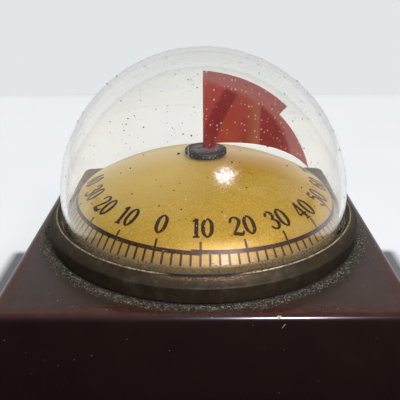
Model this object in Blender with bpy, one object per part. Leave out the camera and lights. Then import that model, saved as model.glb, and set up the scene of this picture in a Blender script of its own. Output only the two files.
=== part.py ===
"""Desk dome thermometer.

A square moulded base carries a crimped dome unit: a brass bezel holds a clear dome and its gasket
on a steel mounting plate. Under the dome a domed dial hides a flat bimetal coil, which turns an
upright staff and, above the dial, a hub with a red flag that points at the scale.
The origin is under the middle of the base, +Z is up and the front of the scale faces -Y.
"""
import math

import bmesh
import bpy
from mathutils import Matrix

for old_object in list(bpy.data.objects):
    bpy.data.objects.remove(old_object, do_unlink=True)

MM = 0.001

# Fits between neighbouring pieces
FIT = 0.3 * MM
RUNNING_FIT = 0.15 * MM
GLUE_GAP = 0.15 * MM

# Base, moulded hollow, wider at the foot than at the top, with a flat plate screwed underneath
BASE_SIDE = 77.6 * MM
BASE_HEIGHT = 28.2 * MM
BASE_DRAFT = 2.1 * MM
BASE_CORNER_RADIUS = 2.6 * MM
BASE_EDGE_RADIUS = 1.2 * MM
BASE_WALL = 4.5 * MM
BASE_TOP_THICKNESS = 5.0 * MM
POST_SIDE = 10.0 * MM
BOTTOM_PLATE_THICKNESS = 1.5 * MM
BOTTOM_PLATE_INSET = 1.0 * MM
BOTTOM_SCREW_RADIUS = 1.25 * MM
BOTTOM_SCREW_HEAD_RADIUS = 2.6 * MM
BOTTOM_SCREW_HEAD_HEIGHT = 0.9 * MM
HEAD_LAND = 0.1 * MM
BOTTOM_SCREW_LENGTH = 9.0 * MM

# Dome unit, from the base top upwards
CRIMP_THICKNESS = 0.5 * MM
CRIMP_WIDTH = 1.7 * MM
PLATE_THICKNESS = 0.9 * MM
GASKET_THICKNESS = 0.4 * MM
GASKET_WIDTH = 1.8 * MM
DOME_RADIUS = 32.4 * MM
DOME_WALL = 1.1 * MM
DOME_SKIRT = 5.1 * MM
DOME_FLANGE_WIDTH = 1.0 * MM
DOME_FLANGE_THICKNESS = 0.9 * MM
BEZEL_LIP = 1.1 * MM
BEZEL_LAND = 1.0 * MM
BEZEL_LAND_FALL = 0.25 * MM
BEZEL_COVE_WIDTH = 1.6 * MM
BEZEL_COVE_DROP = 1.8 * MM
BEZEL_COVE_DEPTH = 0.18 * MM
BEZEL_EDGE_ROUND = 0.15 * MM
BEZEL_WALL = 0.9 * MM

# Screws that hold the dome unit on the base
MOUNTING_SCREW_COUNT = 3
MOUNTING_SCREW_RADIUS = 1.25 * MM
MOUNTING_HEAD_RADIUS = 2.5 * MM
MOUNTING_HEAD_HEIGHT = 1.6 * MM
WASHER_RADIUS = 3.4 * MM
WASHER_THICKNESS = 0.5 * MM
NUT_FLATS = 5.0 * MM
NUT_THICKNESS = 2.0 * MM
NUT_RING_GAP = 1.3 * MM
SCREW_SLOT_WIDTH = 0.7 * MM
SCREW_SLOT_DEPTH = 0.5 * MM

# Dial, a shallow cap of a sphere with a bevelled rim and an upright skirt, on a seat ring
DIAL_CURVE_RADIUS = 56.0 * MM
DIAL_BEVEL_WIDTH = 3.6 * MM
DIAL_BEVEL_SLOPE = math.radians(53)
DIAL_BEND_RADIUS = 5.0 * MM
DIAL_THICKNESS = 0.5 * MM
DIAL_RIM_RISE = 3.6 * MM
DIAL_RING_WIDTH = 1.6 * MM

# Movement under the dial
STAFF_RADIUS = 0.9 * MM
PIVOT_TIP_RADIUS = 0.25 * MM
PIVOT_LENGTH = 1.0 * MM
LOWER_BEARING_RADIUS = 2.3 * MM
LOWER_BEARING_HEIGHT = 2.7 * MM
BEARING_FLANGE_RADIUS = 4.5 * MM
BEARING_FLANGE_THICKNESS = 0.8 * MM
UPPER_BEARING_WALL = 0.85 * MM
UPPER_FLANGE_RADIUS = 3.5 * MM
UPPER_FLANGE_THICKNESS = 1.0 * MM
RIVET_RADIUS = 1.4 * MM
PILLAR_SPACING = 28.0 * MM
PILLAR_RADIUS = 2.0 * MM
BRIDGE_THICKNESS = 1.2 * MM
BRIDGE_WIDTH = 8.0 * MM
BRIDGE_END = 3.5 * MM
BRIDGE_SCREW_RADIUS = 0.7 * MM
BRIDGE_SCREW_HEAD_RADIUS = 1.7 * MM
BRIDGE_SCREW_HEAD_HEIGHT = 1.0 * MM
BRIDGE_SCREW_LENGTH = 5.0 * MM
COIL_THICKNESS = 0.4 * MM
COIL_EDGE_GAP = 0.9 * MM
COIL_OUTER_RADIUS = 10.9 * MM
COIL_TURNS = 4.5
COIL_POINTS_PER_TURN = 24
COIL_TAIL = 2.6 * MM
COLLET_WALL = 1.2 * MM
COLLET_MARGIN = 0.3 * MM
COIL_POST_RADIUS = 1.5 * MM
COIL_POST_GAP = 0.8 * MM

# Pointer above the dial; the flag stands at this turn from +X towards +Y
FLAG_TURN = math.radians(21.8)
HUB_RADIUS = 4.7 * MM
HUB_SHIFT = 0.6 * MM
HUB_THICKNESS = 1.1 * MM
HUB_EDGE = 0.2 * MM
HUB_SLOT_DEPTH = 0.5 * MM
HUB_SLOT_RIM = 2.2 * MM
FLAG_THICKNESS = 0.5 * MM
FLAG_DOME_GAP = 3.5 * MM
FLAG_TIP_GAP = 2.8 * MM
FLAG_TOP_DROP = 0.3 * MM
FLAG_CORNER_RISE = math.radians(40.3)
FLAG_NOTCH_DEPTH = 2.7 * MM
FLAG_UPPER_BULGE = 1.75 * MM
FLAG_LOWER_BULGE = 1.05 * MM
FLAG_LIFT = 2.45 * MM
FLAG_TIP_LIFT = 0.6 * MM

# Facets
LARGE_STEPS = 48
SMALL_STEPS = 12
DOME_ARC_STEPS = 9
DIAL_ARC_STEPS = 7
DIAL_BEND_STEPS = 3
COVE_STEPS = 3
CORNER_STEPS = 4
EDGE_STEPS = 3
FLAG_ARC_STEPS = 8

# Heights inside the base, from the floor
BASE_BOTTOM_Z = BOTTOM_PLATE_THICKNESS + FIT
BASE_TOP_Z = BASE_BOTTOM_Z + BASE_HEIGHT
POST_CENTRE = BASE_SIDE / 2 - BASE_WALL - POST_SIDE / 2

# Heights in the dome unit, from the base top
CRIMP_Z = FIT
PLATE_Z = CRIMP_Z + CRIMP_THICKNESS + FIT
PLATE_TOP = PLATE_Z + PLATE_THICKNESS
SEAT_Z = PLATE_TOP + FIT
FLANGE_Z = SEAT_Z + GASKET_THICKNESS + FIT
FLANGE_TOP = FLANGE_Z + DOME_FLANGE_THICKNESS
LIP_Z = FLANGE_TOP + FIT
CREST_Z = LIP_Z + BEZEL_LIP
EQUATOR_Z = FLANGE_Z + DOME_SKIRT

# Radii in the dome unit
DOME_BORE = DOME_RADIUS - DOME_WALL
FLANGE_RADIUS = DOME_RADIUS + DOME_FLANGE_WIDTH
BEZEL_BORE = DOME_RADIUS + FIT
CREST_RADIUS = BEZEL_BORE + BEZEL_LAND
SHOULDER_RADIUS = CREST_RADIUS + BEZEL_COVE_WIDTH
PLATE_RADIUS = SHOULDER_RADIUS - BEZEL_WALL - FIT

# Dial sphere, the bend where its bevelled rim starts, and the ring under it
DIAL_RADIUS = DOME_BORE - FIT
DIAL_RING_RADIUS = DIAL_RADIUS - DIAL_THICKNESS - FIT
DIAL_RING_BORE = DIAL_RING_RADIUS - DIAL_RING_WIDTH
DIAL_BEND_SLOPE = math.asin((DIAL_RADIUS - DIAL_BEVEL_WIDTH) / DIAL_CURVE_RADIUS)
DIAL_BEND_REACH = DIAL_CURVE_RADIUS - DIAL_BEND_RADIUS


def dial_rise(radius, depth):
    """Height above the dial sphere's centre of a surface some depth under the face, at a distance out."""
    sphere = DIAL_CURVE_RADIUS - depth
    bend = DIAL_BEND_RADIUS - depth
    bend_x = DIAL_BEND_REACH * math.sin(DIAL_BEND_SLOPE)
    bend_z = DIAL_BEND_REACH * math.cos(DIAL_BEND_SLOPE)
    bevel_x = bend_x + bend * math.sin(DIAL_BEVEL_SLOPE)
    if radius <= sphere * math.sin(DIAL_BEND_SLOPE):
        return math.sqrt(sphere ** 2 - radius ** 2)
    if radius <= bevel_x:
        return bend_z + math.sqrt(bend ** 2 - (radius - bend_x) ** 2)
    bevel_z = bend_z + bend * math.cos(DIAL_BEVEL_SLOPE)
    return bevel_z - (radius - bevel_x) * math.tan(DIAL_BEVEL_SLOPE)


DIAL_CENTRE_Z = PLATE_TOP + DIAL_RIM_RISE - dial_rise(DIAL_RADIUS, 0.0)
DIAL_APEX_Z = DIAL_CENTRE_Z + DIAL_CURVE_RADIUS


# Movement, worked down from the dial and up from the mounting plate
PILLAR_X = PILLAR_SPACING / 2
UPPER_BEARING_RADIUS = STAFF_RADIUS + RUNNING_FIT + UPPER_BEARING_WALL
SCREW_HEAD_TOP = DIAL_CENTRE_Z + dial_rise(PILLAR_X + BRIDGE_SCREW_HEAD_RADIUS, DIAL_THICKNESS) - 2 * FIT
BRIDGE_TOP = SCREW_HEAD_TOP - BRIDGE_SCREW_HEAD_HEIGHT - FIT
BRIDGE_Z = BRIDGE_TOP - BRIDGE_THICKNESS
LOWER_BEARING_TOP = SEAT_Z + LOWER_BEARING_HEIGHT
PIVOT_SEAT_Z = SEAT_Z + BEARING_FLANGE_THICKNESS
COIL_Z = LOWER_BEARING_TOP + COIL_EDGE_GAP
COIL_TOP = BRIDGE_Z - COIL_EDGE_GAP
COLLET_RADIUS = STAFF_RADIUS + FIT + COLLET_WALL
COIL_POST_Y = COIL_OUTER_RADIUS + COIL_THICKNESS / 2 + COIL_POST_GAP + COIL_POST_RADIUS
HUB_Z = DIAL_APEX_Z + FIT
HUB_TOP = HUB_Z + HUB_THICKNESS


def finish(name, colour, roughness, metallic, transmission=0.0):
    """A plain surface material with the real piece's colour."""
    surface = bpy.data.materials.new(name)
    surface.use_nodes = True
    shader = surface.node_tree.nodes["Principled BSDF"]
    shader.inputs["Base Color"].default_value = (*colour, 1.0)
    shader.inputs["Roughness"].default_value = roughness
    shader.inputs["Metallic"].default_value = metallic
    shader.inputs["Transmission Weight"].default_value = transmission
    return surface


PHENOLIC = finish("phenolic", (0.055, 0.018, 0.014), 0.25, 0.0)
FIBRE_BOARD = finish("fibre_board", (0.035, 0.032, 0.030), 0.80, 0.0)
AGED_BRASS = finish("aged_brass", (0.140, 0.105, 0.050), 0.45, 1.0)
BRIGHT_BRASS = finish("bright_brass", (0.560, 0.400, 0.150), 0.35, 1.0)
GILT_BRASS = finish("gilt_brass", (0.620, 0.430, 0.140), 0.32, 1.0)
STEEL = finish("steel", (0.420, 0.420, 0.410), 0.40, 1.0)
BLACKED_STEEL = finish("blacked_steel", (0.040, 0.038, 0.037), 0.60, 0.6)
BIMETAL = finish("bimetal", (0.480, 0.430, 0.330), 0.40, 1.0)
CLEAR_GLASS = finish("clear_glass", (0.950, 0.960, 0.950), 0.05, 0.0, 1.0)
RED_ACETATE = finish("red_acetate", (0.330, 0.035, 0.030), 0.30, 0.0, 0.4)
BLACK_RUBBER = finish("black_rubber", (0.020, 0.020, 0.020), 0.85, 0.0)

whole = bpy.data.objects.new("thermometer", None)
bpy.context.collection.objects.link(whole)
dome_unit = bpy.data.objects.new("dome_unit", None)
bpy.context.collection.objects.link(dome_unit)
dome_unit.parent = whole
dome_unit.location.z = BASE_TOP_Z
pointer = bpy.data.objects.new("pointer", None)
bpy.context.collection.objects.link(pointer)
pointer.parent = dome_unit


def add_piece(name, mesh, surface, parent, place=(0.0, 0.0, 0.0), turn=0.0):
    """Make one named piece from a mesh and put it under its parent."""
    if not mesh.materials:
        mesh.materials.append(surface)
    mesh.shade_smooth()
    mesh.set_sharp_from_angle(angle=math.radians(35))
    piece = bpy.data.objects.new(name, mesh)
    bpy.context.collection.objects.link(piece)
    piece.parent = parent
    piece.location = place
    piece.rotation_euler.z = turn
    return piece


def closed_mesh(name, shape):
    """Turn a bmesh into a mesh with its faces pointing out."""
    bmesh.ops.recalc_face_normals(shape, faces=shape.faces)
    mesh = bpy.data.meshes.new(name)
    shape.to_mesh(mesh)
    shape.free()
    return mesh


def turned(name, profile, steps):
    """Spin an outline of (radius, height) points about the axis.

    An outline that starts and ends on the axis is left open there, any other is closed.
    """
    shape = bmesh.new()
    points = [shape.verts.new((radius, 0.0, height)) for radius, height in profile]
    lines = [shape.edges.new(pair) for pair in zip(points, points[1:])]
    if profile[0][0] > 0.0 or profile[-1][0] > 0.0:
        lines.append(shape.edges.new((points[-1], points[0])))
    bmesh.ops.spin(shape, geom=points + lines, cent=(0, 0, 0), axis=(0, 0, 1),
                   angle=2 * math.pi, steps=steps, use_merge=True)
    bmesh.ops.remove_doubles(shape, verts=shape.verts, dist=0.0001 * MM)
    return closed_mesh(name, shape)


def slab(name, outline, low, high):
    """Extrude a flat outline of (x, y) points between two heights."""
    shape = bmesh.new()
    face = shape.faces.new([shape.verts.new((x, y, low)) for x, y in outline])
    sides = bmesh.ops.extrude_face_region(shape, geom=[face])
    top = [item for item in sides["geom"] if isinstance(item, bmesh.types.BMVert)]
    bmesh.ops.translate(shape, vec=(0, 0, high - low), verts=top)
    return closed_mesh(name, shape)


def box_outline(low_x, high_x, low_y, high_y):
    """The four corners of a rectangle, in order."""
    return [(low_x, low_y), (high_x, low_y), (high_x, high_y), (low_x, high_y)]


def round_outline(radius, steps, centre=(0.0, 0.0)):
    """Points round a circle."""
    turns = [2 * math.pi * step / steps for step in range(steps)]
    return [(centre[0] + radius * math.cos(turn), centre[1] + radius * math.sin(turn)) for turn in turns]


# Screw places seen from above: one in each corner post, and a ring of nuts inside the dial ring
POST_PLACES = box_outline(-POST_CENTRE, POST_CENTRE, -POST_CENTRE, POST_CENTRE)
MOUNTING_CIRCLE_RADIUS = DIAL_RING_BORE - NUT_RING_GAP - NUT_FLATS / 2
MOUNTING_PLACES = [(-y, x) for x, y in round_outline(MOUNTING_CIRCLE_RADIUS, MOUNTING_SCREW_COUNT)]


def block(name, side, low, high, corner_radius, top_radius=0.0, draft=0.0):
    """A square block with rounded upright corners and, if asked, a rounded top edge and a wider foot."""
    shape = bmesh.new()
    size = Matrix.Diagonal((side, side, high - low, 1.0))
    bmesh.ops.create_cube(shape, size=1.0, matrix=Matrix.Translation((0, 0, (low + high) / 2)) @ size)
    foot = [vert for vert in shape.verts if vert.co.z < (low + high) / 2]
    spread = 1.0 + 2 * draft / side
    bmesh.ops.scale(shape, vec=(spread, spread, 1.0), verts=foot)
    upright = [edge for edge in shape.edges if abs(edge.verts[0].co.z - edge.verts[1].co.z) > 0.0]
    bmesh.ops.bevel(shape, geom=upright, offset=corner_radius, segments=CORNER_STEPS,
                    profile=0.5, affect='EDGES')
    if top_radius > 0.0:
        middle = (low + high) / 2
        rim = [edge for edge in shape.edges if min(vert.co.z for vert in edge.verts) > middle]
        bmesh.ops.bevel(shape, geom=rim, offset=top_radius, segments=EDGE_STEPS,
                        profile=0.5, affect='EDGES')
    return closed_mesh(name, shape)


def subtract(mesh, cutters):
    """Cut a list of closed meshes out of a mesh, one after the other."""
    solid = bpy.data.objects.new("solid", mesh)
    bpy.context.collection.objects.link(solid)
    for cutter_mesh in cutters:
        cutter = bpy.data.objects.new("cutter", cutter_mesh)
        bpy.context.collection.objects.link(cutter)
        cut = solid.modifiers.new("cut", 'BOOLEAN')
        cut.operation = 'DIFFERENCE'
        cut.object = cutter
        evaluated = solid.evaluated_get(bpy.context.evaluated_depsgraph_get())
        result = bpy.data.meshes.new_from_object(evaluated)
        solid.modifiers.clear()
        solid.data = result
        bpy.data.objects.remove(cutter, do_unlink=True)
    bpy.data.objects.remove(solid, do_unlink=True)
    return result


def holes(places, radius, low, high):
    """Drill cutters, one at each place."""
    return [slab("hole", round_outline(radius, SMALL_STEPS, place), low, high) for place in places]


def arc_points(start, end, bulge, steps):
    """Points of a flat arc from start to end, bulging to the left of that direction."""
    span_x = end[0] - start[0]
    span_y = end[1] - start[1]
    points = []
    for step in range(steps + 1):
        share = step / steps
        offset = 4 * bulge * share * (1 - share) / math.hypot(span_x, span_y)
        x = start[0] + span_x * share - span_y * offset
        y = start[1] + span_y * share + span_x * offset
        points.append((x, y))
    return points


def sphere_points(radius, centre_z, first, last, steps):
    """Points of a circle about a height on the axis, by angles from the equator."""
    angles = [first + (last - first) * step / steps for step in range(steps + 1)]
    return [(radius * math.cos(angle), centre_z + radius * math.sin(angle)) for angle in angles]


def cavity_outline():
    """Inside of the base seen from above: a square with a square post left in each corner."""
    inner = BASE_SIDE / 2 - BASE_WALL
    notch = inner - POST_SIDE
    outline = []
    for quarter in range(4):
        cos = (1, 0, -1, 0)[quarter]
        sin = (0, 1, 0, -1)[quarter]
        for x, y in ((inner, -notch), (inner, notch), (notch, notch)):
            outline.append((x * cos - y * sin, x * sin + y * cos))
    return outline


def make_base():
    """Moulded block, hollow below, with a post in each corner for the bottom plate's screws."""
    ceiling = BASE_TOP_Z - BASE_TOP_THICKNESS
    mesh = block("base_block", BASE_SIDE, BASE_BOTTOM_Z, BASE_TOP_Z, BASE_CORNER_RADIUS, BASE_EDGE_RADIUS,
                 BASE_DRAFT)
    cutters = [slab("cavity", cavity_outline(), BASE_BOTTOM_Z - FIT, ceiling)]
    pilot_top = BOTTOM_SCREW_LENGTH + 2 * FIT
    cutters += holes(POST_PLACES, BOTTOM_SCREW_RADIUS + FIT, BASE_BOTTOM_Z - FIT, pilot_top)
    cutters += holes(MOUNTING_PLACES, MOUNTING_SCREW_RADIUS + FIT, ceiling - FIT, BASE_TOP_Z + FIT)
    add_piece("base_block", subtract(mesh, cutters), PHENOLIC, whole)


def countersunk(name, gap):
    """A countersunk screw just inside the bottom plate or, with a gap, the hole cut for it."""
    head = BOTTOM_SCREW_HEAD_RADIUS + gap
    shank = BOTTOM_SCREW_RADIUS + gap
    neck = FIT + BOTTOM_SCREW_HEAD_HEIGHT
    low = FIT - 2 * gap
    profile = [(0.0, low), (head, low), (head, FIT + HEAD_LAND), (shank, neck + HEAD_LAND)]
    profile += [(shank, BOTTOM_SCREW_LENGTH), (0.0, BOTTOM_SCREW_LENGTH)]
    return turned(name, profile, SMALL_STEPS)


def moved(mesh, place):
    """Shift a mesh sideways."""
    mesh.transform(Matrix.Translation((place[0], place[1], 0.0)))
    return mesh


def screw_slot(low, high, reach):
    """A straight cutter for a screwdriver slot."""
    return slab("slot", box_outline(-reach, reach, -SCREW_SLOT_WIDTH / 2, SCREW_SLOT_WIDTH / 2), low, high)


def make_bottom_plate():
    """Flat fibre plate under the base, with a countersunk screw in each corner post."""
    side = BASE_SIDE + 2 * BASE_DRAFT - 2 * BOTTOM_PLATE_INSET
    mesh = block("bottom_plate", side, 0.0, BOTTOM_PLATE_THICKNESS, BASE_CORNER_RADIUS)
    cutters = [moved(countersunk("hole", FIT), place) for place in POST_PLACES]
    add_piece("bottom_plate", subtract(mesh, cutters), FIBRE_BOARD, whole)
    slot = screw_slot(0.0, FIT + SCREW_SLOT_DEPTH, 2 * BOTTOM_SCREW_HEAD_RADIUS)
    screw = subtract(countersunk("bottom_screw", 0.0), [slot])
    for number, place in enumerate(POST_PLACES, start=1):
        add_piece(f"bottom_screw_{number}", screw, STEEL, whole, (*place, 0.0), number * math.pi / 5)


def make_mounting_plate():
    """Steel disc whose edge the bezel is crimped round, with holes for what is riveted to it."""
    mesh = slab("mounting_plate", round_outline(PLATE_RADIUS, LARGE_STEPS), PLATE_Z, PLATE_TOP)
    rivets = [(PILLAR_X, 0.0), (-PILLAR_X, 0.0), (0.0, COIL_POST_Y), (0.0, 0.0)]
    cutters = holes(MOUNTING_PLACES, MOUNTING_SCREW_RADIUS + FIT, PLATE_Z - FIT, PLATE_TOP + FIT)
    cutters += holes(rivets, RIVET_RADIUS + FIT, PLATE_Z - FIT, PLATE_TOP + FIT)
    add_piece("mounting_plate", subtract(mesh, cutters), STEEL, dome_unit)


def make_mounting_screws():
    """Screws up through the base top, each with a washer below and a nut on the mounting plate."""
    ceiling = -BASE_TOP_THICKNESS
    washer_top = ceiling - FIT
    washer_low = washer_top - WASHER_THICKNESS
    head_top = washer_low - FIT
    head_low = head_top - MOUNTING_HEAD_HEIGHT
    nut_low = SEAT_Z
    nut_top = nut_low + NUT_THICKNESS
    tip = nut_top + FIT
    bore = MOUNTING_SCREW_RADIUS + FIT
    head_edge = MOUNTING_HEAD_HEIGHT / 3
    profile = [(0.0, head_low), (MOUNTING_HEAD_RADIUS - head_edge, head_low),
               (MOUNTING_HEAD_RADIUS, head_low + head_edge), (MOUNTING_HEAD_RADIUS, head_top),
               (MOUNTING_SCREW_RADIUS, head_top), (MOUNTING_SCREW_RADIUS, tip), (0.0, tip)]
    slot = screw_slot(head_low - FIT, head_low + SCREW_SLOT_DEPTH, 2 * MOUNTING_HEAD_RADIUS)
    screw = subtract(turned("mounting_screw", profile, SMALL_STEPS), [slot])
    washer = turned("mounting_washer", [(bore, washer_low), (WASHER_RADIUS, washer_low),
                                        (WASHER_RADIUS, washer_top), (bore, washer_top)], SMALL_STEPS)
    hexagon = slab("mounting_nut", round_outline(NUT_FLATS / math.sqrt(3), 6), nut_low, nut_top)
    nut = subtract(hexagon, holes([(0.0, 0.0)], bore, nut_low - FIT, nut_top + FIT))
    for number, place in enumerate(MOUNTING_PLACES, start=1):
        add_piece(f"mounting_screw_{number}", screw, STEEL, dome_unit, (*place, 0.0))
        add_piece(f"mounting_washer_{number}", washer, STEEL, dome_unit, (*place, 0.0))
        add_piece(f"mounting_nut_{number}", nut, BRIGHT_BRASS, dome_unit, (*place, 0.0))


def make_bezel():
    """Turned brass ring: crest, hollow cove, upright wall, and an edge rolled in under the plate."""
    bead = BEZEL_EDGE_ROUND
    shoulder_z = CREST_Z - BEZEL_COVE_DROP
    plate_pocket = PLATE_RADIUS + FIT
    flange_pocket = FLANGE_RADIUS + FIT
    crimp_radius = PLATE_RADIUS - CRIMP_WIDTH
    cove = arc_points((CREST_RADIUS + bead, CREST_Z - bead), (SHOULDER_RADIUS - bead, shoulder_z + bead),
                      -BEZEL_COVE_DEPTH, COVE_STEPS)
    profile = [(BEZEL_BORE, CREST_Z - BEZEL_LAND_FALL)]
    profile += [(CREST_RADIUS - bead, CREST_Z), (CREST_RADIUS, CREST_Z)]
    profile += cove
    crimp_top = CRIMP_Z + CRIMP_THICKNESS
    profile += [(SHOULDER_RADIUS, shoulder_z - bead), (SHOULDER_RADIUS, CRIMP_Z), (crimp_radius, CRIMP_Z)]
    profile += [(crimp_radius, crimp_top), (plate_pocket, crimp_top), (plate_pocket, SEAT_Z)]
    profile += [(flange_pocket, SEAT_Z), (flange_pocket, LIP_Z), (BEZEL_BORE, LIP_Z)]
    add_piece("bezel_ring", turned("bezel_ring", profile, LARGE_STEPS), AGED_BRASS, dome_unit)


def make_dome():
    """Clear half sphere with a short skirt and a flange, on a flat gasket."""
    outer = sphere_points(DOME_RADIUS, EQUATOR_Z, math.pi / 2, 0.0, DOME_ARC_STEPS)
    inner = sphere_points(DOME_BORE, EQUATOR_Z, 0.0, math.pi / 2, DOME_ARC_STEPS)
    outer[0] = (0.0, EQUATOR_Z + DOME_RADIUS)
    inner[-1] = (0.0, EQUATOR_Z + DOME_BORE)
    foot = [(DOME_RADIUS, FLANGE_TOP), (FLANGE_RADIUS, FLANGE_TOP)]
    foot += [(FLANGE_RADIUS, FLANGE_Z), (DOME_BORE, FLANGE_Z)]
    add_piece("dome", turned("dome", outer + foot + inner, LARGE_STEPS), CLEAR_GLASS, dome_unit)
    gasket_bore = FLANGE_RADIUS - GASKET_WIDTH
    gasket_top = SEAT_Z + GASKET_THICKNESS
    gasket = turned("dome_gasket", [(gasket_bore, SEAT_Z), (FLANGE_RADIUS, SEAT_Z),
                                    (FLANGE_RADIUS, gasket_top), (gasket_bore, gasket_top)], LARGE_STEPS)
    add_piece("dome_gasket", gasket, BLACK_RUBBER, dome_unit)


def dial_points(hole, depth):
    """Outline of the dial at some depth under its face, from the centre hole out to the skirt's foot."""
    sphere = DIAL_CURVE_RADIUS - depth
    bend_x = DIAL_BEND_REACH * math.sin(DIAL_BEND_SLOPE)
    first = math.asin(hole / sphere)
    slopes = [first + (DIAL_BEND_SLOPE - first) * step / DIAL_ARC_STEPS for step in range(DIAL_ARC_STEPS + 1)]
    radii = [sphere * math.sin(slope) for slope in slopes]
    for step in range(1, DIAL_BEND_STEPS + 1):
        slope = DIAL_BEND_SLOPE + (DIAL_BEVEL_SLOPE - DIAL_BEND_SLOPE) * step / DIAL_BEND_STEPS
        radii.append(bend_x + (DIAL_BEND_RADIUS - depth) * math.sin(slope))
    radii.append(DIAL_RADIUS - depth)
    points = [(radius, DIAL_CENTRE_Z + dial_rise(radius, depth)) for radius in radii]
    return points + [(radii[-1], SEAT_Z)]


def make_dial():
    """Domed dial with a centre hole and a skirt, on a turned ring that follows its underside."""
    hole = UPPER_BEARING_RADIUS + FIT
    outline = dial_points(hole, 0.0) + dial_points(hole, DIAL_THICKNESS)[::-1]
    add_piece("dial", turned("dial", outline, LARGE_STEPS), GILT_BRASS, dome_unit)
    seat_gap = DIAL_THICKNESS + FIT
    bore_top = DIAL_CENTRE_Z + dial_rise(DIAL_RING_BORE, seat_gap)
    edge_top = DIAL_CENTRE_Z + dial_rise(DIAL_RING_RADIUS, seat_gap)
    ring = turned("dial_ring", [(DIAL_RING_BORE, SEAT_Z), (DIAL_RING_RADIUS, SEAT_Z),
                                (DIAL_RING_RADIUS, edge_top), (DIAL_RING_BORE, bore_top)], LARGE_STEPS)
    add_piece("dial_ring", ring, BRIGHT_BRASS, dome_unit)


def make_bearings():
    """Cup for the staff's lower pivot on the plate, and a bush through the bridge and the dial."""
    bore = STAFF_RADIUS + RUNNING_FIT
    rivet_low = PLATE_Z - FIT
    lower = [(0.0, rivet_low), (RIVET_RADIUS, rivet_low), (RIVET_RADIUS, SEAT_Z)]
    lower += [(BEARING_FLANGE_RADIUS, SEAT_Z), (BEARING_FLANGE_RADIUS, PIVOT_SEAT_Z)]
    lower += [(LOWER_BEARING_RADIUS, PIVOT_SEAT_Z), (LOWER_BEARING_RADIUS, LOWER_BEARING_TOP)]
    lower += [(bore, LOWER_BEARING_TOP), (bore, PIVOT_SEAT_Z), (0.0, PIVOT_SEAT_Z)]
    add_piece("lower_bearing", turned("lower_bearing", lower, SMALL_STEPS), BRIGHT_BRASS, dome_unit)
    flange_low = BRIDGE_TOP + FIT
    flange_top = flange_low + UPPER_FLANGE_THICKNESS
    upper = [(bore, BRIDGE_Z), (UPPER_BEARING_RADIUS, BRIDGE_Z), (UPPER_BEARING_RADIUS, flange_low)]
    upper += [(UPPER_FLANGE_RADIUS, flange_low), (UPPER_FLANGE_RADIUS, flange_top)]
    upper += [(UPPER_BEARING_RADIUS, flange_top), (UPPER_BEARING_RADIUS, DIAL_APEX_Z), (bore, DIAL_APEX_Z)]
    add_piece("upper_bearing", turned("upper_bearing", upper, SMALL_STEPS), BRIGHT_BRASS, dome_unit)


def make_bridge():
    """Brass strip across two riveted pillars, with a screw down into each."""
    places = [(PILLAR_X, 0.0), (-PILLAR_X, 0.0)]
    thread_bore = BRIDGE_SCREW_RADIUS + FIT
    reach = PILLAR_X + BRIDGE_END
    outline = box_outline(-reach, reach, -BRIDGE_WIDTH / 2, BRIDGE_WIDTH / 2)
    strip = slab("movement_bridge", outline, BRIDGE_Z, BRIDGE_TOP)
    cutters = holes(places, thread_bore, BRIDGE_Z - FIT, BRIDGE_TOP + FIT)
    cutters += holes([(0.0, 0.0)], UPPER_BEARING_RADIUS + FIT, BRIDGE_Z - FIT, BRIDGE_TOP + FIT)
    add_piece("movement_bridge", subtract(strip, cutters), BRIGHT_BRASS, dome_unit)
    pillar_top = BRIDGE_Z - FIT
    head_low = BRIDGE_TOP + FIT
    screw_tip = head_low - BRIDGE_SCREW_LENGTH
    rivet_low = PLATE_Z - FIT
    post = [(0.0, rivet_low), (RIVET_RADIUS, rivet_low), (RIVET_RADIUS, SEAT_Z), (PILLAR_RADIUS, SEAT_Z)]
    post += [(PILLAR_RADIUS, pillar_top), (thread_bore, pillar_top)]
    post += [(thread_bore, screw_tip - FIT), (0.0, screw_tip - FIT)]
    pillar = turned("bridge_pillar", post, SMALL_STEPS)
    head = [(0.0, screw_tip), (BRIDGE_SCREW_RADIUS, screw_tip), (BRIDGE_SCREW_RADIUS, head_low)]
    head += [(BRIDGE_SCREW_HEAD_RADIUS, head_low), (BRIDGE_SCREW_HEAD_RADIUS, SCREW_HEAD_TOP)]
    head += [(0.0, SCREW_HEAD_TOP)]
    slot = screw_slot(SCREW_HEAD_TOP - SCREW_SLOT_DEPTH, SCREW_HEAD_TOP + FIT, 2 * BRIDGE_SCREW_HEAD_RADIUS)
    screw = subtract(turned("bridge_screw", head, SMALL_STEPS), [slot])
    for number, place in enumerate(places, start=1):
        add_piece(f"bridge_pillar_{number}", pillar, BRIGHT_BRASS, dome_unit, (*place, 0.0))
        add_piece(f"bridge_screw_{number}", screw, STEEL, dome_unit, (*place, 0.0))


def coil_route():
    """Middle line of the strip: out of the collet's slot, round the spiral and into the post's slot."""
    first_radius = COLLET_RADIUS + FIT + COIL_THICKNESS / 2
    steps = round(COIL_TURNS * COIL_POINTS_PER_TURN)
    last_turn = math.pi / 2
    route = []
    for step in range(steps + 1):
        share = step / steps
        turn = last_turn - 2 * math.pi * COIL_TURNS * (1 - share)
        radius = first_radius + (COIL_OUTER_RADIUS - first_radius) * share
        route.append((radius * math.cos(turn), radius * math.sin(turn)))
    first_turn = last_turn - 2 * math.pi * COIL_TURNS
    inner_end = STAFF_RADIUS + 2 * FIT
    route.insert(0, (inner_end * math.cos(first_turn), inner_end * math.sin(first_turn)))
    route.append((0.0, COIL_OUTER_RADIUS + COIL_TAIL))
    return route


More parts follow.
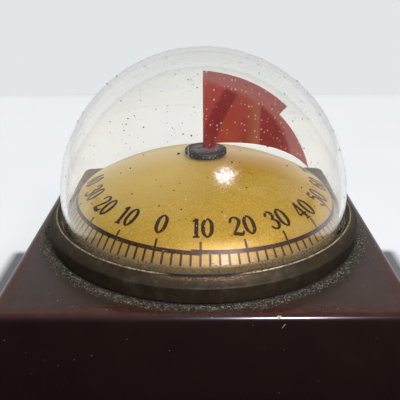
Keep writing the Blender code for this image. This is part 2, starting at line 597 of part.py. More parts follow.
def strip_outline(route, thickness):
    """Both sides of a strip along a route, with mitred bends, as one closed outline."""
    left = []
    right = []
    for index, (x, y) in enumerate(route):
        before = route[max(index - 1, 0)]
        after = route[min(index + 1, len(route) - 1)]
        into = math.atan2(y - before[1], x - before[0]) if index else math.atan2(after[1] - y, after[0] - x)
        out = math.atan2(after[1] - y, after[0] - x) if after != (x, y) else into
        bend = math.remainder(out - into, 2 * math.pi) / 2
        normal = into + bend + math.pi / 2
        half = thickness / 2 / math.cos(bend)
        left.append((x + half * math.cos(normal), y + half * math.sin(normal)))
        right.append((x - half * math.cos(normal), y - half * math.sin(normal)))
    return left, right


def make_coil():
    """Flat bimetal spiral between the collet on the staff and a slotted post on the plate."""
    left, right = strip_outline(coil_route(), COIL_THICKNESS)
    shape = bmesh.new()
    rings = []
    for inner, outer in zip(left, right):
        corners = [(*inner, COIL_Z), (*outer, COIL_Z), (*outer, COIL_TOP), (*inner, COIL_TOP)]
        rings.append([shape.verts.new(corner) for corner in corners])
    for ring, following in zip(rings, rings[1:]):
        for side in range(4):
            shape.faces.new((ring[side], ring[side - 1], following[side - 1], following[side]))
    shape.faces.new(rings[0])
    shape.faces.new(rings[-1])
    add_piece("bimetal_coil", closed_mesh("bimetal_coil", shape), BIMETAL, dome_unit)
    slot = COIL_THICKNESS / 2 + FIT
    rivet_low = PLATE_Z - FIT
    post_top = COIL_TOP + FIT
    profile = [(0.0, rivet_low), (RIVET_RADIUS, rivet_low), (RIVET_RADIUS, SEAT_Z)]
    profile += [(COIL_POST_RADIUS, SEAT_Z), (COIL_POST_RADIUS, post_top), (0.0, post_top)]
    outline = box_outline(-slot, slot, -2 * COIL_POST_RADIUS, 2 * COIL_POST_RADIUS)
    cutter = slab("slot", outline, COIL_Z - FIT, post_top + FIT)
    post = subtract(turned("coil_post", profile, SMALL_STEPS), [cutter])
    add_piece("coil_post", post, BRIGHT_BRASS, dome_unit, (0.0, COIL_POST_Y, 0.0))


def make_staff():
    """Upright staff with a pointed lower pivot, and the collar that grips the coil's inner end."""
    tip = PIVOT_SEAT_Z + FIT
    staff = turned("pointer_staff", [(0.0, tip), (PIVOT_TIP_RADIUS, tip), (STAFF_RADIUS, tip + PIVOT_LENGTH),
                                     (STAFF_RADIUS, HUB_TOP), (0.0, HUB_TOP)], SMALL_STEPS)
    add_piece("pointer_staff", staff, STEEL, pointer)
    bore = STAFF_RADIUS + FIT
    low = COIL_Z - COLLET_MARGIN
    high = COIL_TOP + COLLET_MARGIN
    profile = [(bore, low), (COLLET_RADIUS, low), (COLLET_RADIUS, high), (bore, high)]
    collar = turned("coil_collet", profile, SMALL_STEPS)
    slot = COIL_THICKNESS / 2 + FIT
    inner_turn = math.pi / 2 - 2 * math.pi * COIL_TURNS
    cutter = slab("slot", box_outline(0.0, 2 * COLLET_RADIUS, -slot, slot), low - FIT, high + FIT)
    cutter.transform(Matrix.Rotation(inner_turn, 4, 'Z'))
    add_piece("coil_collet", subtract(collar, [cutter]), BRIGHT_BRASS, pointer)


def make_hub():
    """Blacked disc pressed on the staff, its middle a little to the flag's side, with a slot for the flag."""
    profile = [(0.0, HUB_Z), (HUB_RADIUS - HUB_EDGE, HUB_Z), (HUB_RADIUS, HUB_Z + HUB_EDGE)]
    profile += [(HUB_RADIUS, HUB_TOP - HUB_EDGE), (HUB_RADIUS - HUB_EDGE, HUB_TOP), (0.0, HUB_TOP)]
    disc = moved(turned("pointer_hub", profile, 2 * SMALL_STEPS), (HUB_SHIFT, 0.0))
    slot = FLAG_THICKNESS / 2 + GLUE_GAP
    outline = box_outline(0.0, HUB_SHIFT + HUB_RADIUS - HUB_SLOT_RIM, -slot, slot)
    cutters = holes([(0.0, 0.0)], STAFF_RADIUS + FIT, HUB_Z - FIT, HUB_TOP + FIT)
    cutters.append(slab("slot", outline, HUB_TOP - HUB_SLOT_DEPTH, HUB_TOP + FIT))
    add_piece("pointer_hub", subtract(disc, cutters), BLACKED_STEEL, pointer, turn=FLAG_TURN)


def flag_outline():
    """Flag seen flat, as (distance from the axis, height): tall edge on the axis, two stepped curves."""
    reach = DOME_BORE - FLAG_DOME_GAP
    tip_reach = DOME_BORE - FLAG_TIP_GAP
    top = (0.0, EQUATOR_Z + reach - FLAG_TOP_DROP)
    corner = (reach * math.cos(FLAG_CORNER_RISE), EQUATOR_Z + reach * math.sin(FLAG_CORNER_RISE))
    notch_reach = reach - FLAG_NOTCH_DEPTH
    notch = (notch_reach * math.cos(FLAG_CORNER_RISE), EQUATOR_Z + notch_reach * math.sin(FLAG_CORNER_RISE))
    tab_inner = STAFF_RADIUS + FIT
    tab_outer = HUB_SHIFT + HUB_RADIUS - HUB_SLOT_RIM - GLUE_GAP
    tab_low = HUB_TOP - HUB_SLOT_DEPTH + GLUE_GAP
    tip_curve = DIAL_CURVE_RADIUS + FLAG_TIP_LIFT
    between = EQUATOR_Z - DIAL_CENTRE_Z
    tip_height = (tip_curve ** 2 - tip_reach ** 2 + between ** 2) / (2 * between)
    tip_turn = math.acos(tip_height / tip_curve)
    start_turn = math.asin(tab_outer / (DIAL_CURVE_RADIUS + FLAG_LIFT))
    lower = []
    for step in range(FLAG_ARC_STEPS + 1):
        share = 1 - step / FLAG_ARC_STEPS
        turn = start_turn + (tip_turn - start_turn) * share
        radius = DIAL_CURVE_RADIUS + FLAG_LIFT + (FLAG_TIP_LIFT - FLAG_LIFT) * share ** 4
        lower.append((radius * math.sin(turn), DIAL_CENTRE_Z + radius * math.cos(turn)))
    outline = arc_points(top, corner, FLAG_UPPER_BULGE, FLAG_ARC_STEPS)
    outline += arc_points(notch, lower[0], FLAG_LOWER_BULGE, FLAG_ARC_STEPS)
    outline += lower[1:]
    outline += [(tab_outer, tab_low), (tab_inner, tab_low), (tab_inner, HUB_TOP + FIT), (0.0, HUB_TOP + FIT)]
    return outline[::-1]


def make_flag():
    """Thin sheet stood on edge in the hub's slot."""
    mesh = slab("pointer_flag", flag_outline(), -FLAG_THICKNESS / 2, FLAG_THICKNESS / 2)
    mesh.transform(Matrix.Rotation(math.pi / 2, 4, 'X'))
    add_piece("pointer_flag", mesh, RED_ACETATE, pointer, turn=FLAG_TURN)


make_base()
make_bottom_plate()
make_mounting_plate()
make_mounting_screws()
make_bezel()
make_dome()
make_dial()
make_bearings()
make_bridge()
make_coil()
make_staff()
make_hub()
make_flag()
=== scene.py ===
"""Looks of the desk dome thermometer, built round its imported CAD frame.

Lengths are in metres in the frame's own axes: +Z is up, and the front of the scale faces -Y.
"""
import math
import random

import bmesh
import bpy
from mathutils import Matrix, Vector


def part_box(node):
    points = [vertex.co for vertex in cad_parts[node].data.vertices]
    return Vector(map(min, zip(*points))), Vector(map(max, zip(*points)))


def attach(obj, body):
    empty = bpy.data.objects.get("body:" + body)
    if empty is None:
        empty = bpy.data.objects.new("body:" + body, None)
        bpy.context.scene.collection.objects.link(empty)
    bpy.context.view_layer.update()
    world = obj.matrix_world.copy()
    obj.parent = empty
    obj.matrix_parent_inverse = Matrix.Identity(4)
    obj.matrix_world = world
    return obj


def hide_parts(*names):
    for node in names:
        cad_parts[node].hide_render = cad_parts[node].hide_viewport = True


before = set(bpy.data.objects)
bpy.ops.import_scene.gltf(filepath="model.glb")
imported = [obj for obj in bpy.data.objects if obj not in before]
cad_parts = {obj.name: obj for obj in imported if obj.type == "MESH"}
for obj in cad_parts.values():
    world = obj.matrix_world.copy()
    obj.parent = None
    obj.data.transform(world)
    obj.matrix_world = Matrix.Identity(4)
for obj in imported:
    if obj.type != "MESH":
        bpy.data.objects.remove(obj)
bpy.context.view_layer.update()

MM = 0.001


# Base block: the square foot of the instrument, hollow below, its sides leaning out towards the floor.
# It is pressed hot from dark red-brown phenolic in a polished mould, and its top edge is left rounded.
BASE_LOW, BASE_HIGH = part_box("base_block")
BASE_FOOT_HALF = BASE_HIGH.x
BASE_HALF = 38.8 * MM
BASE_BOTTOM = BASE_LOW.z
BASE_TOP = BASE_HIGH.z
BASE_CORNER = 2.6 * MM
BASE_TOP_ROUND = 1.2 * MM
BASE_FOOT_ROUND = 0.4 * MM
BASE_WALL = 4.5 * MM
BASE_CEILING = BASE_TOP - 5.0 * MM
BASE_TOP_LAND = 0.25 * MM
POST_SIDE = 10.0 * MM
SCREW_HOLE = 1.55 * MM
PILOT_TOP = 9.6 * MM
CORNER_STEPS = 10
FOOT_STEPS = 3
TOP_STEPS = 8
HOLE_SIDES = 24
SMOOTH_BELOW = math.radians(40)


def linear(hex_colour):
    """An sRGB hex colour as linear red, green, blue and a full alpha."""
    shares = [int(hex_colour[start:start + 2], 16) / 255 for start in (1, 3, 5)]
    channels = [share / 12.92 if share <= 0.04045 else ((share + 0.055) / 1.055) ** 2.4 for share in shares]
    return (*channels, 1.0)


def per_mm(size):
    """The pattern scale that gives features about this many millimetres across."""
    return 1.0 / (size * MM)


def add_node(tree, kind, inputs, out=0, stops=(), **settings):
    """Add a node, set or link its inputs, and give back one of its outputs."""
    node = tree.nodes.new("ShaderNode" + kind)
    for name, value in settings.items():
        setattr(node, name, value)
    for name, value in inputs.items():
        if isinstance(value, bpy.types.NodeSocket):
            tree.links.new(value, node.inputs[name])
        else:
            node.inputs[name].default_value = value
    for number, (place, colour) in enumerate(stops):
        if number > 1:
            node.color_ramp.elements.new(place)
        node.color_ramp.elements[number].position = place
        node.color_ramp.elements[number].color = linear(colour)
    return node.outputs[out] if node.outputs else None


def start_material(name):
    """A new material, its node tree, and the place on the piece that its patterns follow."""
    material = bpy.data.materials.new(name)
    material.use_nodes = True
    tree = material.node_tree
    tree.nodes.clear()
    return material, tree, add_node(tree, "TexCoord", {}, out="Object")


def calc(tree, operation, *values, use_clamp=False):
    """One sum on values in a node tree."""
    return add_node(tree, "Math", dict(enumerate(values)), operation=operation, use_clamp=use_clamp)


def ramp(tree, value, start=0.0, end=1.0, first=0.0, last=1.0):
    """Turn a value's run from start to end into one from first to last, held level beyond both."""
    return add_node(tree, "MapRange", {"Value": value, "From Min": start, "From Max": end,
                                       "To Min": first, "To Max": last})


def noise(tree, spot, size, detail=2.0, roughness=0.5):
    """Soft noise with features about this many millimetres across."""
    return add_node(tree, "TexNoise", {"Vector": spot, "Scale": per_mm(size), "Detail": detail,
                                       "Roughness": roughness})


def bump(tree, height, strength, depth):
    """A relief that follows a height, up to this many millimetres deep."""
    return add_node(tree, "Bump", {"Height": height, "Strength": strength, "Distance": depth * MM},
                    out="Normal")


def add_surface(tree, inputs):
    """Give a material its outer surface."""
    surface = add_node(tree, "BsdfPrincipled", inputs)
    add_node(tree, "OutputMaterial", {"Surface": surface})


def patches(tree, spot, size, low, high, least=0.0, most=1.0, detail=2.0, roughness=0.5):
    """Uneven patches about this many millimetres across, the least at low noise and the most at high."""
    return ramp(tree, noise(tree, spot, size, detail, roughness), low, high, least, most)


def lay_over(tree, colour, *layers):
    """Lay tints over a ground colour one after another, each by its own share."""
    for share, tint in layers:
        colour = add_node(tree, "Mix", {0: share, 6: colour, 7: linear(tint)}, out=2, data_type='RGBA')
    return colour


def from_axis(tree, spot):
    """Distance from the upright axis."""
    flat = add_node(tree, "VectorMath", {0: spot, 1: (1.0, 1.0, 0.0)}, operation='MULTIPLY')
    return add_node(tree, "VectorMath", {0: flat}, out="Value", operation='LENGTH')


def add_loop(shape, points):
    """A closed ring of points joined by edges."""
    ring = [shape.verts.new(point) for point in points]
    for start, end in zip(ring, ring[1:] + ring[:1]):
        shape.edges.new((start, end))
    return ring


def add_wall(shape, first, second):
    """Faces between two rings with the same number of points."""
    for side in range(len(first)):
        shape.faces.new((first[side - 1], first[side], second[side], second[side - 1]))


def add_flat(shape, *rings):
    """A flat face inside the first ring, with a hole for each further ring."""
    edges = [shape.edges.get((ring[side - 1], ring[side])) for ring in rings for side in range(len(ring))]
    bmesh.ops.triangle_fill(shape, use_beauty=True, edges=edges)


def circle(radius, height, steps, centre=(0.0, 0.0)):
    """Points round an upright axis."""
    points = []
    for step in range(steps):
        turn = 2 * math.pi * step / steps
        points.append((centre[0] + radius * math.cos(turn), centre[1] + radius * math.sin(turn), height))
    return points


def finish_piece(name, shape, material, body):
    """Turn a bmesh into a named object that rides on a body."""
    bmesh.ops.recalc_face_normals(shape, faces=shape.faces)
    mesh = bpy.data.meshes.new(name)
    shape.to_mesh(mesh)
    shape.free()
    mesh.materials.append(material)
    mesh.shade_smooth()
    mesh.set_sharp_from_angle(angle=SMOOTH_BELOW)
    piece = bpy.data.objects.new(name, mesh)
    bpy.context.scene.collection.objects.link(piece)
    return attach(piece, body)


def rounded_square(inset, height):
    """The base's outline at a height, moved in by an inset."""
    corner = BASE_CORNER - inset
    lean = (BASE_FOOT_HALF - BASE_HALF) * (BASE_TOP - height) / (BASE_TOP - BASE_BOTTOM)
    middle = BASE_HALF + lean - BASE_CORNER
    points = []
    for quarter in range(4):
        centre = Vector((middle, middle)) @ Matrix.Rotation(-quarter * math.pi / 2, 2)
        for step in range(CORNER_STEPS + 1):
            turn = (quarter + step / CORNER_STEPS) * math.pi / 2
            points.append((centre.x + corner * math.cos(turn), centre.y + corner * math.sin(turn), height))
    return points


def box_middle(node):
    """Where the middle of a node is, seen from above."""
    low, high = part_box(node)
    return ((low.x + high.x) / 2, (low.y + high.y) / 2)


def cavity(height):
    """The inside of the base: a square with a post left standing in each corner."""
    inner = BASE_HALF - BASE_WALL
    notch = inner - POST_SIDE
    corners = []
    for quarter in range(4):
        turn = Matrix.Rotation(-quarter * math.pi / 2, 2)
        corners += [Vector(corner) @ turn for corner in ((inner, -notch), (inner, notch), (notch, notch))]
    return [(corner.x, corner.y, height) for corner in corners]


def add_holes(shape, places, height):
    """The rings of round screw holes at one height."""
    return [add_loop(shape, circle(SCREW_HOLE, height, HOLE_SIDES, place)) for place in places]


def make_base_mesh():
    """Outside skin with its rounded edges, then the hollow, its posts and the screw holes."""
    shape = bmesh.new()
    levels = []
    for step in range(FOOT_STEPS + 1):
        turn = step / FOOT_STEPS * math.pi / 2
        inset = BASE_FOOT_ROUND * (1 - math.sin(turn))
        levels.append((inset, BASE_BOTTOM + BASE_FOOT_ROUND * (1 - math.cos(turn))))
    for step in range(TOP_STEPS + 1):
        turn = step / TOP_STEPS * math.pi / 2
        inset = BASE_TOP_ROUND * (1 - math.cos(turn))
        levels.append((inset, BASE_TOP - BASE_TOP_ROUND * (1 - math.sin(turn))))
    levels.append((BASE_TOP_ROUND + BASE_TOP_LAND, BASE_TOP))
    rings = [add_loop(shape, rounded_square(inset, height)) for inset, height in levels]
    for lower, upper in zip(rings, rings[1:]):
        add_wall(shape, lower, upper)
    screws = [box_middle(f"mounting_nut_{number}") for number in (1, 2, 3)]
    posts = [box_middle(f"bottom_screw_{number}") for number in (1, 2, 3, 4)]
    upper_holes = add_holes(shape, screws, BASE_TOP)
    lower_holes = add_holes(shape, screws, BASE_CEILING)
    pilots = add_holes(shape, posts, BASE_BOTTOM)
    pilot_ends = add_holes(shape, posts, PILOT_TOP)
    cavity_rim = add_loop(shape, cavity(BASE_BOTTOM))
    cavity_top = add_loop(shape, cavity(BASE_CEILING))
    for first, second in zip(upper_holes + pilots + [cavity_rim], lower_holes + pilot_ends + [cavity_top]):
        add_wall(shape, first, second)
    add_flat(shape, rings[-1], *upper_holes)
    add_flat(shape, cavity_top, *lower_holes)
    add_flat(shape, rings[0], cavity_rim, *pilots)
    for end in pilot_ends:
        add_flat(shape, end)
    return shape


# Polished phenolic: a dark red-brown with a faint mottle on the sides. The top is painted a lighter red
# for the light that falls on it from above, and the sides' darker brown is painted shade. The top is redder
# along its rim where hands rub it clean. Its gloss is best on the edges and sides. On the top it is softened
# by olive grime, a film of dust with a few pale specks, and a soft dark ring at the bezel's foot that is
# partly dirt and partly painted shade of the bezel, with fine paler grit in it close to the bezel's foot.
# The specks are drawn a little large to show.
TOP_FADE_LOW = BASE_TOP - 0.4 * MM
TOP_FADE_HIGH = BASE_TOP - 0.1 * MM
RUBBED_EDGE = BASE_HALF - 1.8 * MM
GRIME_EDGE = BASE_HALF - 4.5 * MM
GRIME_MOST = 0.6
FILM_MOST = 0.10
DIRT_SHADE_INNER = 35.3 * MM
DIRT_SHADE_OUTER = 39.6 * MM
DIRT_SHADE_WAVER = 0.6 * MM
FINE_GRIT_INNER = DIRT_SHADE_INNER + 1.2 * MM
FINE_GRIT_OUTER = DIRT_SHADE_INNER + 2.9 * MM
SIDE_GLOSS = 0.10
RIM_GLOSS = 0.16
phenolic, tree, spot = start_material("polished_phenolic")
mottle = noise(tree, spot, 9.0, 5.0, 0.6)
resin = add_node(tree, "ValToRGB", {"Fac": mottle}, stops=((0.30, "#2d1e1a"), (0.70, "#35231e")))
up = add_node(tree, "SeparateXYZ", {"Vector": spot}, out="Z")
top = ramp(tree, up, TOP_FADE_LOW, TOP_FADE_HIGH)
film = patches(tree, spot, 3.0, 0.45, 0.80, most=FILM_MOST, detail=8.0, roughness=0.72)
film = calc(tree, 'MULTIPLY', film, top)
across = add_node(tree, "VectorMath", {0: spot}, operation='ABSOLUTE')
across = add_node(tree, "SeparateXYZ", {"Vector": across})
reach = calc(tree, 'MAXIMUM', across, across.node.outputs["Y"])
grime = ramp(tree, reach, RUBBED_EDGE, GRIME_EDGE, last=GRIME_MOST)
grime = calc(tree, 'MULTIPLY', grime, top)
cell = add_node(tree, "TexVoronoi", {"Vector": spot, "Scale": per_mm(1.7)})
speck = ramp(tree, cell, 0.075, 0.045)
patch = patches(tree, spot, 2.6, 0.55, 0.62)
speck = calc(tree, 'MULTIPLY', speck, patch)
# A dark ring round the bezel's foot, partly dirt and partly painted shade of the bezel.
waver = patches(tree, spot, 0.5, 0.35, 0.65, least=-DIRT_SHADE_WAVER, most=DIRT_SHADE_WAVER, detail=6.0, roughness=0.75)
around = calc(tree, 'ADD', from_axis(tree, spot), waver)
dirt_and_shade = ramp(tree, around, DIRT_SHADE_OUTER, DIRT_SHADE_INNER, last=0.9)
dirt_and_shade = calc(tree, 'MULTIPLY', dirt_and_shade, top)
fine = patches(tree, spot, 0.35, 0.48, 0.62, detail=3.0, roughness=0.7)
gritty = ramp(tree, around, FINE_GRIT_OUTER, FINE_GRIT_INNER, last=0.75)
gritty = calc(tree, 'MULTIPLY', gritty, fine)
gritty = calc(tree, 'MULTIPLY', gritty, top)
# Painted light and shade: the top's lighter red stands for light from above, the sides' darker resin for
# shade.
coloured = lay_over(tree, resin, (top, "#481c10"), (grime, "#332d20"), (film, "#8d7c72"),
                    (speck, "#a89a8c"), (dirt_and_shade, "#231e13"), (gritty, "#716d56"))
dull = ramp(tree, film, end=FILM_MOST, first=0.31, last=0.42)
sides = calc(tree, 'MULTIPLY_ADD', top, -SIDE_GLOSS, SIDE_GLOSS)
dull = calc(tree, 'SUBTRACT', dull, sides)
rim = ramp(tree, grime, end=GRIME_MOST, first=RIM_GLOSS, last=0.0)
rim = calc(tree, 'MULTIPLY', rim, top)
dull = calc(tree, 'SUBTRACT', dull, rim)
dull = add_node(tree, "Mix", {0: dirt_and_shade, 2: dull, 3: 0.62}, data_type='FLOAT')
dull = add_node(tree, "Mix", {0: speck, 2: dull, 3: 0.8}, data_type='FLOAT')
wave = noise(tree, spot, 1.4, 2.0)
height = calc(tree, 'MULTIPLY_ADD', speck, 2.0, wave)
relief = bump(tree, height, 0.08, 0.02)
add_surface(tree, {"Base Color": coloured, "Roughness": dull, "IOR": 1.6, "Specular IOR Level": 0.40,
                   "Normal": relief})

base = finish_piece("base_skin", make_base_mesh(), phenolic, "case")
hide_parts("base_block")


# Bottom plate: a flat square that closes the base, sawn from pressed fibre board.
# Four countersunk screws hold it, and it keeps its CAD shape.
def dress(material, *names):
    """Give CAD nodes a material."""
    for name in names:
        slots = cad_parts[name].data.materials
        slots.clear()
        slots.append(material)


# Vulcanised fibre: hard grey-brown paper board, matt, with short fibres pressed flat in its face.
fibre, tree, spot = start_material("vulcanised_fibre")
drawn = add_node(tree, "Mapping", {"Vector": spot, "Scale": (1.0, 0.12, 1.0)})
strand = noise(tree, drawn, 0.3, 4.0)
shade = add_node(tree, "ValToRGB", {"Fac": strand}, stops=((0.3, "#2a2826"), (0.7, "#3d3936")))
relief = bump(tree, strand, 0.3, 0.03)
add_surface(tree, {"Base Color": shade, "Roughness": 0.85, "Normal": relief})
dress(fibre, "bottom_plate")


# Screws, washers, nuts and the mounting plate: plain steel and brass, turned and stamped, that hold the
# dome unit on the base. They keep their CAD shapes.
# Stains from handling make the gloss of bare metal uneven.
HANDLING = 0.1


def worked_metal(name, dark, light, roughness):
    """A plain metal with fine tool marks and cloudy handling stains."""
    material, tree, spot = start_material(name)
    cloud = noise(tree, spot, 2.5, 5.0)
    colour = add_node(tree, "ValToRGB", {"Fac": cloud}, stops=((0.32, dark), (0.68, light)))
    flat = add_node(tree, "Mapping", {"Vector": spot, "Scale": (0.1, 0.1, 1.0)})
    mark = noise(tree, flat, 0.12, 2.0)
    dull = ramp(tree, cloud, first=roughness - HANDLING, last=roughness + HANDLING)
    relief = bump(tree, mark, 0.2, 0.01)
    add_surface(tree, {"Base Color": colour, "Metallic": 1.0, "Roughness": dull, "Normal": relief})
    return material


# Zinc-grey steel and turned brass: bare metals with a soft shine, a little cloudy.
steel = worked_metal("zinc_grey_steel", "#9a9b99", "#bdbdba", 0.38)
brass = worked_metal("turned_brass", "#a98f55", "#cdb274", 0.34)
dress(steel, "mounting_plate", *[f"bottom_screw_{number}" for number in (1, 2, 3, 4)])
for number in (1, 2, 3):
    dress(steel, f"mounting_screw_{number}", f"mounting_washer_{number}")
    dress(brass, f"mounting_nut_{number}")


# Movement and dial ring: turned brass bearings, pillars, bridge and ring with steel screws, round a flat
# spiral. Only the upper bearing's bush comes up through the dial. All but the spiral keep their CAD shapes.
dress(brass, "lower_bearing", "upper_bearing", "movement_bridge", "bridge_pillar_1", "bridge_pillar_2")
dress(brass, "coil_post", "coil_collet", "dial_ring")
dress(steel, "bridge_screw_1", "bridge_screw_2")


# Bimetal coil: a flat spiral of two-metal strip, rolled and wound cold, its tail held in the slotted post.
# Its inner end, gripped in the collet's slot, is a piece of its own so that it can turn with the collet.
# Both are rolled bimetal: a warm grey metal with a soft shine and fine tool marks.
COIL_LOW, COIL_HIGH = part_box("bimetal_coil")
COLLET_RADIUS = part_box("coil_collet")[1].x
COIL_THICKNESS = 0.4 * MM
COIL_CLEARANCE = 0.3 * MM
COIL_OUTER_RADIUS = 10.9 * MM
COIL_TURNS = 4.5
COIL_POINTS_PER_TURN = 48
COIL_TAB_INNER = COLLET_RADIUS - 0.9 * MM


def spiral_route():
    """Middle line of the strip, from beside the collet round the spiral and out along the tail."""
    first_radius = COLLET_RADIUS + COIL_CLEARANCE + COIL_THICKNESS / 2
    steps = round(COIL_TURNS * COIL_POINTS_PER_TURN)
    route = []
    for step in range(steps + 1):
        share = step / steps
        turn = math.pi / 2 - 2 * math.pi * COIL_TURNS * (1 - share)
        radius = first_radius + (COIL_OUTER_RADIUS - first_radius) * share
        route.append(Vector((radius * math.cos(turn), radius * math.sin(turn))))
    return route + [Vector((0.0, COIL_HIGH.y))]


def make_strip_mesh(route):
    """A strip stood on edge along a route, with square ends."""
    shape = bmesh.new()
    rings = []
    for index, point in enumerate(route):
        along = route[min(index + 1, len(route) - 1)] - route[max(index - 1, 0)]
        side = Vector((-along.y, along.x)).normalized() * COIL_THICKNESS / 2
        corners = [(point - side, COIL_LOW.z), (point + side, COIL_LOW.z),
                   (point + side, COIL_HIGH.z), (point - side, COIL_HIGH.z)]
        rings.append([shape.verts.new((*corner, height)) for corner, height in corners])
    for first, second in zip(rings, rings[1:]):
        add_wall(shape, first, second)
    shape.faces.new(rings[0])
    shape.faces.new(rings[-1])
    return shape


bimetal = worked_metal("rolled_bimetal", "#a39b88", "#c0b8a6", 0.36)
coil = finish_piece("coil_spiral", make_strip_mesh(spiral_route()), bimetal, "case")
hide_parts("bimetal_coil")
inward = spiral_route()[0].normalized()
coil_end = [inward * COIL_TAB_INNER, inward * (COLLET_RADIUS + COIL_CLEARANCE / 2)]
coil_tab = finish_piece("coil_inner_end", make_strip_mesh(coil_end), bimetal, "pointer")


# Dial: a thin pressed brass cap with a bevelled rim and an upright skirt, gilt and lacquered to satin gold.
# It rests on a ring inside the dome, and the movement's bush comes up through its middle.
DIAL_CURVE = 56.0 * MM
DIAL_THICKNESS = 0.5 * MM
DIAL_HOLE = 2.2 * MM
DIAL_RADIUS = 31.0 * MM
DIAL_RIM = BASE_TOP + 5.6 * MM
DIAL_FOOT = BASE_TOP + 2.3 * MM
DIAL_RIM_DROP = 0.3 * MM
DIAL_BEND = 5.0 * MM
DIAL_BEND_INSET = 3.6 * MM
DIAL_BEND_SLOPE = math.asin((DIAL_RADIUS - DIAL_BEND_INSET) / DIAL_CURVE)
DIAL_BEVEL_SLOPE = math.radians(53)
DIAL_FACE_STEPS = 60
DIAL_BACK_STEPS = 24
DIAL_CROWDING = 0.8
DIAL_SIDES = 192


def dial_rise(radius, depth):
    """Height over the dial's centre of curvature of a surface this deep under its face."""
    sphere = DIAL_CURVE - depth
    bend = DIAL_BEND - depth
    bend_x = (DIAL_CURVE - DIAL_BEND) * math.sin(DIAL_BEND_SLOPE)
    bend_z = (DIAL_CURVE - DIAL_BEND) * math.cos(DIAL_BEND_SLOPE)
    bevel_x = bend_x + bend * math.sin(DIAL_BEVEL_SLOPE)
    if radius <= sphere * math.sin(DIAL_BEND_SLOPE):
        return math.sqrt(sphere ** 2 - radius ** 2)
    if radius <= bevel_x:
        return bend_z + math.sqrt(bend ** 2 - (radius - bend_x) ** 2)
    return bend_z + bend * math.cos(DIAL_BEVEL_SLOPE) - (radius - bevel_x) * math.tan(DIAL_BEVEL_SLOPE)


DIAL_CENTRE = DIAL_RIM - dial_rise(DIAL_RADIUS, 0.0)


def turn_profile(profile, steps):
    """Spin a closed outline of (radius, height) points about the upright axis."""
    shape = bmesh.new()
    rings = []
    for radius, height in profile:
        if radius > 0.0:
            rings.append(add_loop(shape, circle(radius, height, steps)))
        else:
            rings.append([shape.verts.new((0.0, 0.0, height))] * steps)
    for first, second in zip(rings, rings[1:] + rings[:1]):
        for side in range(steps):
            corners = [first[side - 1], first[side], second[side], second[side - 1]]
            corners = list(dict.fromkeys(corners))
            if len(corners) > 2:
                shape.faces.new(corners)
    return shape


def dial_outline(depth, steps):
    """Outline from the dial's hole to its skirt's foot, at a depth under the face, closest at the rim."""
    last = DIAL_RADIUS - depth
    shares = [(step / steps) ** DIAL_CROWDING for step in range(steps + 1)]
    radii = [DIAL_HOLE + (last - DIAL_HOLE) * share for share in shares]
    points = [(radius, DIAL_CENTRE + dial_rise(radius, depth)) for radius in radii]
    return points + [(last, points[-1][1] - DIAL_RIM_DROP), (last, DIAL_FOOT)]


# Gilt lacquered brass: a satin gold with slow cloudy tones, a fine grain whose pale specks are painted
# glints, and thin milky patches in the lacquer. It is painted paler as a reflection in a band behind the
# hub, and as a sheen in front of the hub to the left. It has a few dark pin holes, and is tarnished browner
# round the rim and on the skirt. The grain is drawn coarse so that it shows.
SHEEN_MIDDLE = (-11.0 * MM, -5.0 * MM, DIAL_RIM + 7.0 * MM)
SHEEN_CORE = 6.0 * MM
SHEEN_REACH = 20.0 * MM
BACK_REFLECTION_Y = 6.0 * MM
BACK_REFLECTION_HALF = 12.0 * MM
TARNISH_HIGH = DIAL_RIM + 2.6 * MM
TARNISH_LOW = DIAL_RIM - 0.1 * MM
gilt, tree, spot = start_material("gilt_lacquered_brass")
cloud = noise(tree, spot, 7.0, 4.0, 0.6)
gold = add_node(tree, "ValToRGB", {"Fac": cloud}, stops=((0.30, "#c29612"), (0.72, "#d1a722")))
milk = patches(tree, spot, 9.0, 0.52, 0.75, most=0.25, detail=3.0)
place = add_node(tree, "SeparateXYZ", {"Vector": spot})
# Painted reflection: paler in a band behind the hub.
behind = calc(tree, 'SUBTRACT', place.node.outputs["Y"], BACK_REFLECTION_Y)
behind = calc(tree, 'ABSOLUTE', behind)
behind = ramp(tree, behind, BACK_REFLECTION_HALF, 0.0, last=0.75)
# Painted sheen: paler round a spot in front of the hub to the left.
beside = add_node(tree, "VectorMath", {0: spot, 1: SHEEN_MIDDLE}, out="Value", operation='DISTANCE')
beside = ramp(tree, beside, SHEEN_REACH, SHEEN_CORE, last=0.8)
grain = noise(tree, spot, 0.30, 2.0)
# Painted glints: the grain's pale lemon specks.
tone = ramp(tree, grain, 0.42, 0.66, last=0.32)
cell = add_node(tree, "TexVoronoi", {"Vector": spot, "Scale": per_mm(5.5)})
pin = ramp(tree, cell, 0.045, 0.030)
low = ramp(tree, place.node.outputs["Z"], TARNISH_HIGH, TARNISH_LOW, last=0.85)
coloured = lay_over(tree, gold, (milk, "#ecd48c"), (beside, "#f0cf78"), (behind, "#fbeac0"),
                    (tone, "#fbe07c"), (pin, "#4a3518"), (low, "#a78d5c"))
dull = ramp(tree, cloud, first=0.50, last=0.60)
relief = bump(tree, grain, 0.75, 0.015)
add_surface(tree, {"Base Color": coloured, "Metallic": 0.06, "Roughness": dull, "Specular IOR Level": 0.4,
                   "Coat Weight": 0.12, "Coat Roughness": 0.24, "Normal": relief})

dial_face = dial_outline(0.0, DIAL_FACE_STEPS)
dial_back = dial_outline(DIAL_THICKNESS, DIAL_BACK_STEPS)
dial = finish_piece("dial_cap", turn_profile(dial_face + dial_back[::-1], DIAL_SIDES), gilt, "case")
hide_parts("dial")


